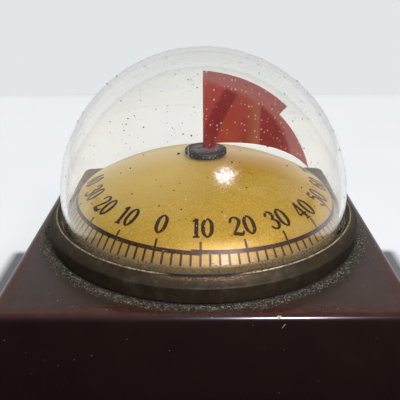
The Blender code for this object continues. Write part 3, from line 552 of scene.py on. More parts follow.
# Printed scale: a line, ticks and numerals in dark brown ink, transferred to the dial before lacquering.
# It runs from 40 below zero to 120 in Fahrenheit, with a tick at every second degree. The line and numerals
# were laid down apart from the ticks, so the line is a little off the middle and the numerals slip.
SCALE_STEP = math.radians(17.03)
SCALE_START = math.radians(-1.15)
LOWEST_MARK = -5
HIGHEST_MARK = 11
DEGREES_AT_FRONT = 10
DEGREES_PER_MARK = 10
TICKS_PER_MARK = 5
LINE_RADIUS = 29.36 * MM
LINE_SHIFT = 0.50 * MM
LINE_WIDTH = 0.50 * MM
LINE_DRIFT = 0.08 * MM
LINE_SEAM = math.radians(-2.6)
LINE_STEPS = 360
LINE_OVERLAP = 2
LINE_LIFT = 0.04 * MM
TICK_WIDTH = 0.43 * MM
TICK_INNER = 27.95 * MM
TICK_OUTER = 30.9 * MM
TICK_STEPS = 8
NUMERAL_RADIUS = 25.2 * MM
NUMERAL_INSET_LEFT = 0.25 * MM
NUMERAL_SLIP_LEFT = 0.22 * MM
NUMERAL_SLIP_RIGHT = 0.10 * MM
NUMERAL_JUMP = 0.40 * MM
NUMERAL_DRIFT = 0.06 * MM
NUMERAL_DRIFT_MARKS = 4
NUMERAL_GAP = 0.32 * MM
NUMERAL_SIZE = 0.88
PEN_STEP = 0.14
PEN_STEPS_LEAST = 4
INK_SPREAD = 0.12
INK_LIFT = 0.03 * MM
STROKE_LIFT = 0.004 * MM
THIN = 0.12
THICK = 0.32

# Strokes of each numeral in millimetres, as (across, up, half width) along the pen's way.
# A numeral is drawn 4.5 mm tall about its middle, and the size and the ink's spread then apply.
NUMERALS = {
    "0": (2.5, [[(-0.95, 0.0, THICK), (-0.80, 1.25, 0.28), (0.0, 2.13, THIN), (0.80, 1.25, 0.28),
                 (0.95, 0.0, THICK), (0.80, -1.25, 0.28), (0.0, -2.13, THIN), (-0.80, -1.25, 0.28),
                 (-0.95, 0.0, THICK)]]),
    "1": (1.5, [[(0.0, 2.2, 0.30), (0.0, -2.15, THICK)], [(-0.75, -2.16, 0.08), (0.75, -2.16, 0.08)],
                [(-0.85, 1.45, 0.08), (-0.45, 1.75, 0.14), (-0.05, 2.1, 0.2)]]),
    "2": (2.7, [[(-0.85, 1.05, 0.30), (-1.0, 1.35, 0.20), (-0.55, 2.0, THIN), (0.15, 2.12, 0.14),
                 (0.85, 1.55, 0.30), (0.80, 0.75, 0.30), (0.1, -0.35, 0.18), (-0.75, -1.35, THIN),
                 (-1.1, -1.95, THIN)],
                [(-1.1, -1.95, THIN), (-0.55, -1.75, 0.26), (0.25, -1.95, 0.30), (0.85, -2.0, 0.24),
                 (1.2, -1.55, 0.10), (1.25, -1.2, 0.08)]]),
    "3": (2.5, [[(-0.80, 1.15, 0.28), (-0.85, 1.55, 0.18), (-0.35, 2.08, THIN), (0.25, 2.05, 0.18),
                 (0.80, 1.25, THICK), (0.45, 0.45, 0.18), (-0.15, 0.20, THIN)],
                [(-0.15, 0.20, THIN), (0.55, -0.05, 0.18), (1.0, -0.95, THICK), (0.55, -1.85, 0.20),
                 (-0.15, -2.12, THIN), (-0.85, -1.75, 0.16), (-0.90, -1.30, 0.28)]]),
    "4": (2.7, [[(0.45, 2.2, 0.28), (0.45, -2.15, THICK)], [(-0.25, -2.16, 0.08), (1.15, -2.16, 0.08)],
                [(0.35, 2.15, 0.10), (-0.55, 0.45, THIN), (-1.25, -0.85, 0.10)],
                [(-1.3, -0.95, 0.12), (1.3, -0.95, 0.12)]]),
    "5": (2.5, [[(-0.75, 1.98, 0.16), (0.25, 1.92, 0.26), (0.95, 2.12, 0.12)],
                [(-0.72, 2.0, THIN), (-0.82, 0.30, THIN)],
                [(-0.82, 0.32, THIN), (-0.05, 0.72, 0.18), (0.75, 0.25, 0.28), (0.98, -0.75, THICK),
                 (0.55, -1.75, 0.24), (-0.15, -2.12, THIN), (-0.85, -1.75, 0.16), (-0.90, -1.30, 0.28)]]),
    "6": (2.5, [[(0.80, 1.45, 0.26), (0.75, 1.80, 0.16), (0.25, 2.12, THIN), (-0.45, 1.55, 0.24),
                 (-0.95, 0.0, THICK), (-0.75, -1.35, 0.30), (0.0, -2.13, THIN), (0.75, -1.65, 0.24),
                 (0.95, -0.85, THICK), (0.70, 0.0, 0.26), (0.1, 0.35, THIN), (-0.75, -0.25, THIN)]]),
    "7": (2.5, [[(-1.1, 1.35, 0.10), (-0.95, 1.85, 0.16), (-0.2, 1.85, 0.28), (0.6, 1.75, 0.28),
                 (1.1, 2.15, THIN)],
                [(1.1, 2.15, THIN), (0.35, 0.65, 0.14), (-0.15, -0.75, 0.26), (-0.3, -2.15, 0.34)]]),
    "8": (2.5, [[(0.70, 1.75, 0.14), (0.0, 2.13, THIN), (-0.75, 1.55, 0.24), (-0.65, 0.85, THICK),
                 (0.2, 0.1, THICK), (0.90, -0.75, THICK), (0.75, -1.75, 0.22), (0.0, -2.13, THIN),
                 (-0.85, -1.6, 0.20), (-0.90, -0.75, 0.16), (-0.2, 0.15, THIN), (0.65, 0.9, 0.14),
                 (0.78, 1.45, 0.16), (0.60, 1.85, 0.14)]]),
    "9": (2.5, [[(-0.80, -1.45, 0.26), (-0.75, -1.80, 0.16), (-0.25, -2.12, THIN), (0.45, -1.55, 0.24),
                 (0.95, 0.0, THICK), (0.75, 1.35, 0.30), (0.0, 2.13, THIN), (-0.75, 1.65, 0.24),
                 (-0.95, 0.85, THICK), (-0.70, 0.0, 0.26), (-0.1, -0.35, THIN), (0.75, 0.25, THIN)]]),
}


def pen_way(points):
    """A smooth run of points through the pen's marks, close enough together to follow the dial."""
    smooth = []
    marks = [Vector(point) for point in points]
    if len(marks) > 2 and points[0] == points[-1]:
        before, after = marks[-2], marks[1]
    else:
        before, after = marks[0], marks[-1]
    padded = [before] + marks + [after]
    for index in range(1, len(padded) - 2):
        first, start, end, last = padded[index - 1:index + 3]
        steps = max(PEN_STEPS_LEAST, round((end - start).length / PEN_STEP))
        for step in range(steps):
            share = step / steps
            bend = (2 * first - 5 * start + 4 * end - last) * share ** 2
            bend += (3 * start - first - 3 * end + last) * share ** 3
            smooth.append((2 * start + (end - first) * share + bend) / 2)
    smooth.append(marks[-1])
    return smooth


def on_dial(turn, radius, across, up, lift):
    """A point on the dial's face beside a scale mark: across to the right, up towards the middle."""
    out = Vector((math.sin(turn), -math.cos(turn)))
    right = Vector((math.cos(turn), math.sin(turn)))
    place = out * (radius - up) + right * across
    return (place.x, place.y, DIAL_CENTRE + dial_rise(place.length, 0.0) + lift)


def add_ribbon(shape, left, right):
    """A strip of faces between two runs of points."""
    first = [shape.verts.new(point) for point in left]
    second = [shape.verts.new(point) for point in right]
    for index in range(1, len(first)):
        shape.faces.new((first[index - 1], first[index], second[index], second[index - 1]))


def add_numeral(shape, numeral, turn, middle, ring):
    """Draw one numeral at a distance to the right of its mark, on a ring of this radius."""
    for number, marks in enumerate(NUMERALS[numeral][1]):
        way = pen_way(marks)
        lift = INK_LIFT + number * STROKE_LIFT
        left = []
        right = []
        for index, mark in enumerate(way):
            along = way[min(index + 1, len(way) - 1)] - way[max(index - 1, 0)]
            if index in (0, len(way) - 1) and marks[0] == marks[-1]:
                along = way[1] - way[-2]
            side = Vector((-along.y, along.x)).normalized() * (mark.z + INK_SPREAD)
            for edge, sign in ((left, 1), (right, -1)):
                across = middle + (mark.x + sign * side.x) * NUMERAL_SIZE * MM
                up = (mark.y + sign * side.y) * NUMERAL_SIZE * MM
                edge.append(on_dial(turn, ring, across, up, lift))
        add_ribbon(shape, left, right)


def make_scale_mesh():
    """The line round the bevel, the ticks and the numerals."""
    shape = bmesh.new()
    inner = []
    outer = []
    for step in range(-LINE_OVERLAP, LINE_STEPS + LINE_OVERLAP + 1):
        turn = LINE_SEAM + 2 * math.pi * step / LINE_STEPS
        radius = LINE_RADIUS + LINE_DRIFT * (2 * step / LINE_STEPS - 1) + LINE_SHIFT * math.sin(turn)
        inner.append(on_dial(turn, radius, 0.0, LINE_WIDTH / 2, LINE_LIFT))
        outer.append(on_dial(turn, radius, 0.0, -LINE_WIDTH / 2, LINE_LIFT))
    add_ribbon(shape, inner, outer)
    for tick in range(LOWEST_MARK * TICKS_PER_MARK, HIGHEST_MARK * TICKS_PER_MARK + 1):
        turn = SCALE_START + SCALE_STEP * tick / TICKS_PER_MARK
        start = LINE_RADIUS + LINE_SHIFT * math.sin(turn)
        if tick % TICKS_PER_MARK == 0:
            start = TICK_INNER
        runs = [start + (TICK_OUTER - start) * step / TICK_STEPS for step in range(TICK_STEPS + 1)]
        left = [on_dial(turn, radius, -TICK_WIDTH / 2, 0.0, INK_LIFT) for radius in runs]
        right = [on_dial(turn, radius, TICK_WIDTH / 2, 0.0, INK_LIFT) for radius in runs]
        add_ribbon(shape, left, right)
    for mark in range(LOWEST_MARK, HIGHEST_MARK + 1):
        turn = SCALE_START + SCALE_STEP * mark
        numerals = str(abs(DEGREES_AT_FRONT + DEGREES_PER_MARK * mark))
        widths = [NUMERALS[numeral][0] * NUMERAL_SIZE * MM for numeral in numerals]
        if mark < 0:
            slip = NUMERAL_SLIP_LEFT * mark
            ring = NUMERAL_RADIUS - NUMERAL_INSET_LEFT
        else:
            slip = NUMERAL_JUMP + NUMERAL_SLIP_RIGHT * mark
            ring = NUMERAL_RADIUS + NUMERAL_DRIFT * min(mark, NUMERAL_DRIFT_MARKS) ** 2
        place = slip - (sum(widths) + NUMERAL_GAP * (len(widths) - 1)) / 2
        for numeral, width in zip(numerals, widths):
            add_numeral(shape, numeral, turn, place + width / 2, ring)
            place += width + NUMERAL_GAP
    return shape


# Brown printing ink: nearly opaque, a little worn, so that some gold shows through its thin places.
ink, tree, spot = start_material("brown_printing_ink")
wear = noise(tree, spot, 0.5, 4.0, 0.7)
brown = add_node(tree, "ValToRGB", {"Fac": wear},
                 stops=((0.34, "#2c1a12"), (0.56, "#46301f"), (0.74, "#7a5c33")))
dull = ramp(tree, wear, first=0.35, last=0.6)
relief = bump(tree, wear, 0.2, 0.02)
add_surface(tree, {"Base Color": brown, "Roughness": dull, "Specular IOR Level": 0.2, "Normal": relief})
scale_print = finish_piece("scale_print", make_scale_mesh(), ink, "case")
# The dome's far side mirrors the bare dial only.
scale_print.visible_glossy = False


# Hub: a small steel disc pressed on the staff, its middle a little to one side, slotted for the flag.
# Disc and staff are blacked in oil, and house dust has settled on them.
HUB_LOW, HUB_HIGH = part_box("pointer_hub")
HUB_BOTTOM = HUB_LOW.z
HUB_TOP = HUB_HIGH.z
HUB_RADIUS = 4.7 * MM
HUB_SHIFT = 0.6 * MM
HUB_BORE = 1.2 * MM
HUB_EDGE = 0.22 * MM
HUB_SLOT_HALF = 0.4 * MM
HUB_SLOT_END = 3.1 * MM
HUB_SLOT_DEPTH = 0.5 * MM
EDGE_STEPS = 4
HUB_SIDES = 96
DRILL_SIDES = 32
DRILL_LENGTH = 4.0 * MM
SAW_HEIGHT = 2.0 * MM
FLAG_TURN = math.radians(21.8)


def edge_round(radius, height, first, last, size):
    """Points of a small rounded edge, by angles from outwards to up."""
    turns = [first + (last - first) * step / EDGE_STEPS for step in range(EDGE_STEPS + 1)]
    return [(radius + size * math.cos(turn), height + size * math.sin(turn)) for turn in turns]


def make_hub_mesh():
    """A turned disc with rounded edges, a bore off its middle and the flag's slot cut across it."""
    reach = HUB_RADIUS - HUB_EDGE
    profile = [(0.0, HUB_BOTTOM)]
    profile += edge_round(reach, HUB_BOTTOM + HUB_EDGE, -math.pi / 2, 0.0, HUB_EDGE)
    profile += edge_round(reach, HUB_TOP - HUB_EDGE, 0.0, math.pi / 2, HUB_EDGE)
    profile.append((0.0, HUB_TOP))
    disc = turn_profile(profile, HUB_SIDES)
    turn = Matrix.Rotation(FLAG_TURN, 4, 'Z')
    bmesh.ops.translate(disc, verts=disc.verts, vec=turn @ Vector((HUB_SHIFT, 0.0, 0.0)))
    drill = bmesh.new()
    bmesh.ops.create_cone(drill, cap_ends=True, segments=DRILL_SIDES, radius1=HUB_BORE, radius2=HUB_BORE,
                          depth=DRILL_LENGTH, matrix=Matrix.Translation((0.0, 0.0, HUB_TOP)))
    saw = bmesh.new()
    size = Matrix.Diagonal((HUB_SLOT_END, 2 * HUB_SLOT_HALF, SAW_HEIGHT, 1.0))
    place = Matrix.Translation((HUB_SLOT_END / 2, 0.0, HUB_TOP - HUB_SLOT_DEPTH + SAW_HEIGHT / 2))
    bmesh.ops.create_cube(saw, size=1.0, matrix=turn @ place @ size)
    solids = []
    for shape in (disc, drill, saw):
        bmesh.ops.recalc_face_normals(shape, faces=shape.faces)
        mesh = bpy.data.meshes.new("hub_cut")
        shape.to_mesh(mesh)
        shape.free()
        solids.append(bpy.data.objects.new("hub_cut", mesh))
        bpy.context.scene.collection.objects.link(solids[-1])
    for cutter in solids[1:]:
        cut = solids[0].modifiers.new("cut", 'BOOLEAN')
        cut.operation = 'DIFFERENCE'
        cut.object = cutter
    result = bmesh.new()
    result.from_object(solids[0], bpy.context.evaluated_depsgraph_get())
    for solid in solids:
        bpy.data.objects.remove(solid, do_unlink=True)
    return result


# Oil-blacked steel: a soft dark grey with a purple-brown cast, painted blackest round the rim as the shade
# on its edge, under pale dust in specks. The specks are drawn a little large to show.
RIM_SHADE_START = HUB_RADIUS - 2.2 * MM
RIM_SHADE_FULL = HUB_RADIUS - 0.4 * MM
blacked, tree, spot = start_material("oil_blacked_steel")
cloud = noise(tree, spot, 1.2, 5.0, 0.7)
dark = add_node(tree, "ValToRGB", {"Fac": cloud}, stops=((0.30, "#554b4c"), (0.70, "#978a87")))
cell = add_node(tree, "TexVoronoi", {"Vector": spot, "Scale": per_mm(0.65)})
speck = ramp(tree, cell, 0.26, 0.16)
patch = patches(tree, spot, 1.1, 0.45, 0.53, detail=1.0)
speck = calc(tree, 'MULTIPLY', speck, patch)
shift = (-HUB_SHIFT * math.cos(FLAG_TURN), -HUB_SHIFT * math.sin(FLAG_TURN), 0.0)
centred = add_node(tree, "VectorMath", {0: spot, 1: shift}, operation='ADD')
# Painted shade round the disc's rim.
rim = ramp(tree, from_axis(tree, centred), RIM_SHADE_START, RIM_SHADE_FULL, last=0.9)
rim = calc(tree, 'MULTIPLY_ADD', rim, cloud, rim, use_clamp=True)
coloured = lay_over(tree, dark, (rim, "#2a2425"), (speck, "#cfc9c6"))
dull = ramp(tree, cloud, first=0.45, last=0.75)
relief = bump(tree, speck, 0.5, 0.05)
add_surface(tree, {"Base Color": coloured, "Metallic": 0.2, "Roughness": dull, "Normal": relief})
dress(blacked, "pointer_staff")
hub = finish_piece("hub_disc", make_hub_mesh(), blacked, "pointer")
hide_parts("pointer_hub")


# Flag: the pointer itself, a sail cut from thin red acetate sheet and cemented on edge in the hub's slot.
# Its upper curve ends in a step, and its lowest corner points at the scale.
FLAG_LIFT = 2.45 * MM
FLAG_TIP_LIFT = 0.6 * MM
FLAG_REACH = 27.8 * MM
FLAG_TIP_REACH = 28.5 * MM
FLAG_TOP_DROP = 0.3 * MM
FLAG_UPPER_BULGE = 1.75 * MM
FLAG_LOWER_BULGE = 1.05 * MM
FLAG_MIDDLE = BASE_TOP + 8.1 * MM
FLAG_CORNER_RISE = math.radians(40.3)
FLAG_NOTCH = 2.7 * MM
FLAG_HALF = 0.25 * MM
FLAG_EDGE = 0.06 * MM
FLAG_EDGE_STEPS = 2
FLAG_TAB_INNER = 1.2 * MM
FLAG_TAB_OUTER = 2.95 * MM
FLAG_TAB = HUB_TOP - 0.35 * MM
FLAG_FOOT = HUB_TOP + 0.3 * MM
FLAG_DIP_POWER = 4
FLAG_STEPS = 28
SHARP_EDGE = math.radians(60)


def bulged(start, end, bulge, steps):
    """Points of a flat arc between two points, that bulges to the left of that direction."""
    span = Vector(end) - Vector(start)
    side = Vector((-span.y, span.x)).normalized()
    points = []
    for step in range(steps + 1):
        share = step / steps
        points.append(Vector(start) + span * share + side * 4 * bulge * share * (1 - share))
    return points


def flag_outline():
    """The flag seen flat, as points (distance from the axis, height)."""
    middle = Vector((0.0, FLAG_MIDDLE))
    rise = Vector((math.cos(FLAG_CORNER_RISE), math.sin(FLAG_CORNER_RISE)))
    corner = middle + rise * FLAG_REACH
    notch = middle + rise * (FLAG_REACH - FLAG_NOTCH)
    tip_curve = DIAL_CURVE + FLAG_TIP_LIFT
    between = FLAG_MIDDLE - DIAL_CENTRE
    tip_height = (tip_curve ** 2 - FLAG_TIP_REACH ** 2 + between ** 2) / (2 * between)
    tip_turn = math.acos(tip_height / tip_curve)
    start_turn = math.asin(FLAG_TAB_OUTER / (DIAL_CURVE + FLAG_LIFT))
    lower = []
    for step in range(FLAG_STEPS + 1):
        share = 1 - step / FLAG_STEPS
        turn = start_turn + (tip_turn - start_turn) * share
        radius = DIAL_CURVE + FLAG_LIFT + (FLAG_TIP_LIFT - FLAG_LIFT) * share ** FLAG_DIP_POWER
        lower.append((radius * math.sin(turn), DIAL_CENTRE + radius * math.cos(turn)))
    top = (0.0, FLAG_MIDDLE + FLAG_REACH - FLAG_TOP_DROP)
    outline = bulged(top, corner, FLAG_UPPER_BULGE, FLAG_STEPS)
    outline += bulged(notch, lower[0], FLAG_LOWER_BULGE, FLAG_STEPS)
    outline += lower[1:]
    outline += [(FLAG_TAB_OUTER, FLAG_TAB), (FLAG_TAB_INNER, FLAG_TAB)]
    outline += [(FLAG_TAB_INNER, FLAG_FOOT), (0.0, FLAG_FOOT)]
    return outline


def make_flag_mesh():
    """The sheet, its cut edges slightly rounded, stood up and turned to where it points."""
    shape = bmesh.new()
    turn = Matrix.Rotation(FLAG_TURN, 3, 'Z')
    front = [(x, -FLAG_HALF, z) for x, z in flag_outline()]
    ring = add_loop(shape, [turn @ Vector(point) for point in front])
    face = shape.faces.new(ring)
    block = bmesh.ops.extrude_face_region(shape, geom=[face])
    back = [item for item in block["geom"] if isinstance(item, bmesh.types.BMVert)]
    bmesh.ops.translate(shape, verts=back, vec=turn @ Vector((0.0, 2 * FLAG_HALF, 0.0)))
    shape.normal_update()
    rims = [edge for edge in shape.edges if edge.calc_face_angle(0.0) > SHARP_EDGE]
    bmesh.ops.bevel(shape, geom=rims, offset=FLAG_EDGE, segments=FLAG_EDGE_STEPS, profile=0.5,
                    affect='EDGES')
    return shape


# Red acetate sheet: clear red dye in a glossy plastic, with a bowed streak of deep red that is a painted
# reflection, an upright band of orange-brown, and a milky pink fade along the upper edge that is a painted
# reflection, under a faint cloudiness and pale dust. The dust is drawn a little large to show.
STREAK_LEAN = math.radians(28.6)
STREAK_START = -17.5 * MM
STREAK_END = 20.5 * MM
STREAK_BOW = 0.8 * MM
BOW_MIDDLE = 26.0 * MM
BOW_HALF = 8.0 * MM
BROWN_START = 10.2 * MM
BROWN_FULL = 12.8 * MM
BROWN_CRISP = 13.8 * MM
BROWN_END = 14.4 * MM
EDGE_REFLECTION_START = 24.9 * MM
EDGE_REFLECTION_DEPTH = 1.0 * MM
EDGE_REFLECTION_SPREAD = 1.8 * MM
EDGE_REFLECTION_REACH = 7.5 * MM
STREAK_WANDER = 0.025
acetate, tree, spot = start_material("red_acetate_sheet")
cloud = noise(tree, spot, 5.0, 4.0)
across = (math.cos(STREAK_LEAN) * math.cos(FLAG_TURN), math.cos(STREAK_LEAN) * math.sin(FLAG_TURN),
          -math.sin(STREAK_LEAN))
raised = add_node(tree, "VectorMath", {0: spot, 1: (0.0, 0.0, -BASE_TOP)}, operation='ADD')
streak = add_node(tree, "VectorMath", {0: raised, 1: across}, out="Value", operation='DOT_PRODUCT')
rise = add_node(tree, "SeparateXYZ", {"Vector": raised}, out="Z")
rise = add_node(tree, "MapRange", {"Value": rise, "From Min": BOW_MIDDLE,
                                   "From Max": BOW_MIDDLE + BOW_HALF}, clamp=False)
bow = calc(tree, 'POWER', rise, 2.0)
bow = ramp(tree, bow, first=STREAK_BOW, last=0.0)
streak = calc(tree, 'ADD', streak, bow)
streak = ramp(tree, streak, STREAK_START, STREAK_END)
wander = ramp(tree, cloud, first=-STREAK_WANDER, last=STREAK_WANDER)
streak = calc(tree, 'ADD', streak, wander)
# The deep red band in this ramp is a painted reflection.
red = add_node(tree, "ValToRGB", {"Fac": streak},
               stops=((0.0, "#ca4c3b"), (0.185, "#c9493c"), (0.20, "#a8140b"), (0.28, "#a2110a"),
                      (0.295, "#c64a30"), (0.38, "#c64d34"), (0.46, "#b83826"), (0.5, "#b12a1c"),
                      (0.64, "#a81e15"), (1.0, "#b7473e")))
along = from_axis(tree, spot)
brown = ramp(tree, along, BROWN_START, BROWN_FULL, last=0.85)
crisp = ramp(tree, along, BROWN_END, BROWN_CRISP)
brown = calc(tree, 'MULTIPLY', brown, crisp)
away = add_node(tree, "VectorMath", {0: spot, 1: (0.0, 0.0, FLAG_MIDDLE)}, out="Value",
                operation='DISTANCE')
spread = ramp(tree, along, end=EDGE_REFLECTION_REACH, last=EDGE_REFLECTION_SPREAD)
away = calc(tree, 'ADD', away, spread)
# Painted reflection: a milky pink fade along the upper edge.
edge_reflection = ramp(tree, away, EDGE_REFLECTION_START, EDGE_REFLECTION_START + EDGE_REFLECTION_DEPTH)
cell = add_node(tree, "TexVoronoi", {"Vector": spot, "Scale": per_mm(0.80)})
lot = add_node(tree, "SeparateColor", {"Color": cell.node.outputs["Color"]})
size = ramp(tree, lot, 0.3, last=0.30)
speck = calc(tree, 'SUBTRACT', size, cell)
speck = ramp(tree, speck, end=0.06)
coloured = lay_over(tree, red, (brown, "#cb7a54"), (edge_reflection, "#d07e76"), (speck, "#fff4f0"))
dull = ramp(tree, cloud, first=0.10, last=0.24)
relief = bump(tree, cloud, 0.1, 0.05)
add_surface(tree, {"Base Color": coloured, "Roughness": dull, "IOR": 1.49, "Transmission Weight": 0.25,
                   "Normal": relief})
flag = finish_piece("flag_sheet", make_flag_mesh(), acetate, "pointer")
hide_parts("pointer_flag")


# Gasket: a flat ring under the dome's flange, cut from sheet rubber and squeezed by the bezel.
# It keeps its CAD shape. Black rubber is matt and nearly black, with a faint grey bloom.
rubber, tree, spot = start_material("black_rubber")
bloom = noise(tree, spot, 1.5, 4.0)
black = add_node(tree, "ValToRGB", {"Fac": bloom}, stops=((0.3, "#1d1d1d"), (0.7, "#302f2e")))
relief = bump(tree, bloom, 0.2, 0.03)
add_surface(tree, {"Base Color": black, "Roughness": 0.8, "Normal": relief})
dress(rubber, "dome_gasket")


# Dome: a clear half sphere on a short skirt, with a flange that the bezel clamps on the gasket.
# It is moulded in clear acrylic, and has picked up fine scratches and dust.
DOME_RADIUS = 32.4 * MM
DOME_BORE = 31.3 * MM
DOME_FLANGE = 33.4 * MM
DOME_FOOT = BASE_TOP + 3.0 * MM
DOME_FLANGE_TOP = BASE_TOP + 3.9 * MM
DOME_MIDDLE = BASE_TOP + 8.1 * MM
DOME_STEPS = 56
DOME_SIDES = 192


def make_dome_mesh():
    """Outside and inside half spheres, joined by the skirt and the flange."""
    turns = [math.pi / 2 * step / DOME_STEPS for step in range(DOME_STEPS + 1)]
    outer = [(DOME_RADIUS * math.sin(turn), DOME_MIDDLE + DOME_RADIUS * math.cos(turn)) for turn in turns]
    inner = [(DOME_BORE * math.sin(turn), DOME_MIDDLE + DOME_BORE * math.cos(turn)) for turn in turns]
    foot = [(DOME_RADIUS, DOME_FLANGE_TOP), (DOME_FLANGE, DOME_FLANGE_TOP)]
    foot += [(DOME_FLANGE, DOME_FOOT), (DOME_BORE, DOME_FOOT)]
    return turn_profile(outer + foot + inner[::-1], DOME_SIDES)


# Clear acrylic: colourless with a slightly warm cast and sharp reflections. A wiped spot at the front has
# fine scratches that glow in specks round a lamp's reflection, and a dull film lies low on the skirt.
WIPED_SPOT = Vector((3.9 * MM, -28.7 * MM, BASE_TOP + 22.5 * MM))
WIPED_CORE = 0.8 * MM
WIPED_REACH = 3.6 * MM
FILM_FADE = 2.0 * MM
acrylic, tree, spot = start_material("clear_acrylic")
scratch = noise(tree, spot, 0.35, 4.0, 0.7)
relief = bump(tree, scratch, 0.5, 0.02)
glow = ramp(tree, scratch, 0.50, 0.60, last=0.40)
near = add_node(tree, "VectorMath", {0: spot, 1: WIPED_SPOT}, out="Value", operation='DISTANCE')
near = ramp(tree, near, WIPED_REACH, WIPED_CORE)
glow = calc(tree, 'MULTIPLY', glow, near)
up = add_node(tree, "SeparateXYZ", {"Vector": spot}, out="Z")
low = ramp(tree, up, DOME_MIDDLE + FILM_FADE, DOME_MIDDLE - FILM_FADE, last=0.9)
glow = calc(tree, 'MAXIMUM', glow, low)
clear = add_node(tree, "BsdfPrincipled", {"Base Color": linear("#fefdfa"), "Roughness": 0.0, "IOR": 1.49,
                                          "Transmission Weight": 1.0, "Coat Weight": glow,
                                          "Coat Roughness": 0.16, "Coat Normal": relief})
path = add_node(tree, "LightPath", {}, out="Is Shadow Ray")
let_light = add_node(tree, "BsdfTransparent", {"Color": linear("#f6f5f1")})
surface = add_node(tree, "MixShader", {0: path, 1: clear, 2: let_light})
add_node(tree, "OutputMaterial", {"Surface": surface})
dome = finish_piece("dome_shell", make_dome_mesh(), acrylic, "case")
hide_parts("dome")
# Scattered light passes the dome unbent, so that it is counted once.
dome.visible_diffuse = False


# Bezel: a turned brass ring that clamps the dome, its lower edge rolled in under the mounting plate.
# A sloping cove runs from its crest to an upright wall, and years of handling have tarnished it.
BEZEL_BORE = 32.7 * MM
BEZEL_CREST = 33.7 * MM
BEZEL_SHOULDER = 35.3 * MM
BEZEL_CREST_TOP = BASE_TOP + 5.3 * MM
BEZEL_BORE_TOP = BASE_TOP + 5.05 * MM
BEZEL_SHOULDER_TOP = BASE_TOP + 3.5 * MM
BEZEL_FOOT = BASE_TOP + 0.3 * MM
BEZEL_EDGE = 0.18 * MM
BEZEL_LAND = BEZEL_BORE_TOP + 0.04 * MM
CREST_INSIDE = math.radians(105)
CREST_OUTSIDE = math.radians(42)
COVE_START = Vector((BEZEL_CREST + 0.02 * MM, BEZEL_CREST_TOP - 0.2 * MM))
COVE_END = Vector((BEZEL_SHOULDER - 0.14 * MM, BEZEL_SHOULDER_TOP + 0.12 * MM))
COVE_DEPTH = 0.18 * MM
COVE_STEPS = 10
SHOULDER_START = math.radians(48)
ROLL_ROUND = 0.3 * MM
ROLL_INNER = 32.4 * MM
ROLL_TOP = BEZEL_FOOT + 0.5 * MM
PLATE_POCKET = 34.4 * MM
PLATE_POCKET_TOP = BASE_TOP + 2.3 * MM
FLANGE_POCKET = 33.7 * MM
FLANGE_POCKET_TOP = BASE_TOP + 4.2 * MM
BEZEL_SIDES = 256


def make_bezel_mesh():
    """Land, crest, cove, shoulder, wall, rolled foot and the pockets that grip the flange and the plate."""
    edge = BEZEL_EDGE
    profile = [(BEZEL_BORE, BEZEL_BORE_TOP - edge), (BEZEL_BORE + 0.4 * edge, BEZEL_BORE_TOP - 0.2 * edge)]
    profile += [(BEZEL_BORE + edge, BEZEL_LAND)]
    profile += edge_round(BEZEL_CREST - edge, BEZEL_CREST_TOP - edge, CREST_INSIDE, CREST_OUTSIDE, edge)
    profile += [tuple(point) for point in bulged(COVE_START, COVE_END, -COVE_DEPTH, COVE_STEPS)]
    profile += edge_round(BEZEL_SHOULDER - edge, BEZEL_SHOULDER_TOP - edge, SHOULDER_START, 0.0, edge)
    profile += edge_round(BEZEL_SHOULDER - ROLL_ROUND, BEZEL_FOOT + ROLL_ROUND, 0.0, -math.pi / 2,
                          ROLL_ROUND)
    profile += [(ROLL_INNER, BEZEL_FOOT), (ROLL_INNER, ROLL_TOP)]
    profile += [(PLATE_POCKET, ROLL_TOP), (PLATE_POCKET, PLATE_POCKET_TOP)]
    profile += [(FLANGE_POCKET, PLATE_POCKET_TOP), (FLANGE_POCKET, FLANGE_POCKET_TOP)]
    profile += [(BEZEL_BORE, FLANGE_POCKET_TOP)]
    return turn_profile(profile, BEZEL_SIDES)


# Tarnished brass: a dull olive-brown skin with patches of green, half hiding the metal. The wall is painted
# dark as shade, most of all round the sides. The crest is rubbed bright, but at the front its top is painted
# black as the shade of the gap under the dome, over a band of coppery pits painted as the crest's glint. The
# stains are a few millimetres across and the pitting half a millimetre.
WALL_SHADE_HIGH = BEZEL_SHOULDER_TOP + 1.2 * MM
WALL_SHADE_LOW = BEZEL_SHOULDER_TOP - 0.3 * MM
FRONT_EDGE = -math.cos(math.radians(17))
FRONT_FULL = -math.cos(math.radians(10))
WORN_LOW = BEZEL_CREST_TOP - 0.24 * MM
WORN_HIGH = BEZEL_CREST_TOP - 0.10 * MM
WORN_INNER = BEZEL_CREST - 0.30 * MM
WORN_OUTER = BEZEL_CREST - 0.15 * MM
GAP_SHADE_LOW = BEZEL_CREST_TOP - 0.36 * MM
GAP_SHADE_HIGH = BEZEL_CREST_TOP - 0.26 * MM
COPPER_GLINT_LOW = BEZEL_CREST_TOP - 1.0 * MM
COPPER_GLINT_HIGH = BEZEL_CREST_TOP - 0.6 * MM
tarnished, tree, spot = start_material("tarnished_brass")
stain = noise(tree, spot, 2.4, 6.0, 0.66)
brown = add_node(tree, "ValToRGB", {"Fac": stain},
                 stops=((0.28, "#2f2819"), (0.55, "#463c27"), (0.78, "#695b3a")))
place = add_node(tree, "SeparateXYZ", {"Vector": spot})
up = place.node.outputs["Z"]
pit = noise(tree, spot, 0.45, 4.0, 0.7)
rubbed = ramp(tree, pit, 0.38, 0.56)
radius = from_axis(tree, spot)
facing = calc(tree, 'DIVIDE', place.node.outputs["Y"], radius)
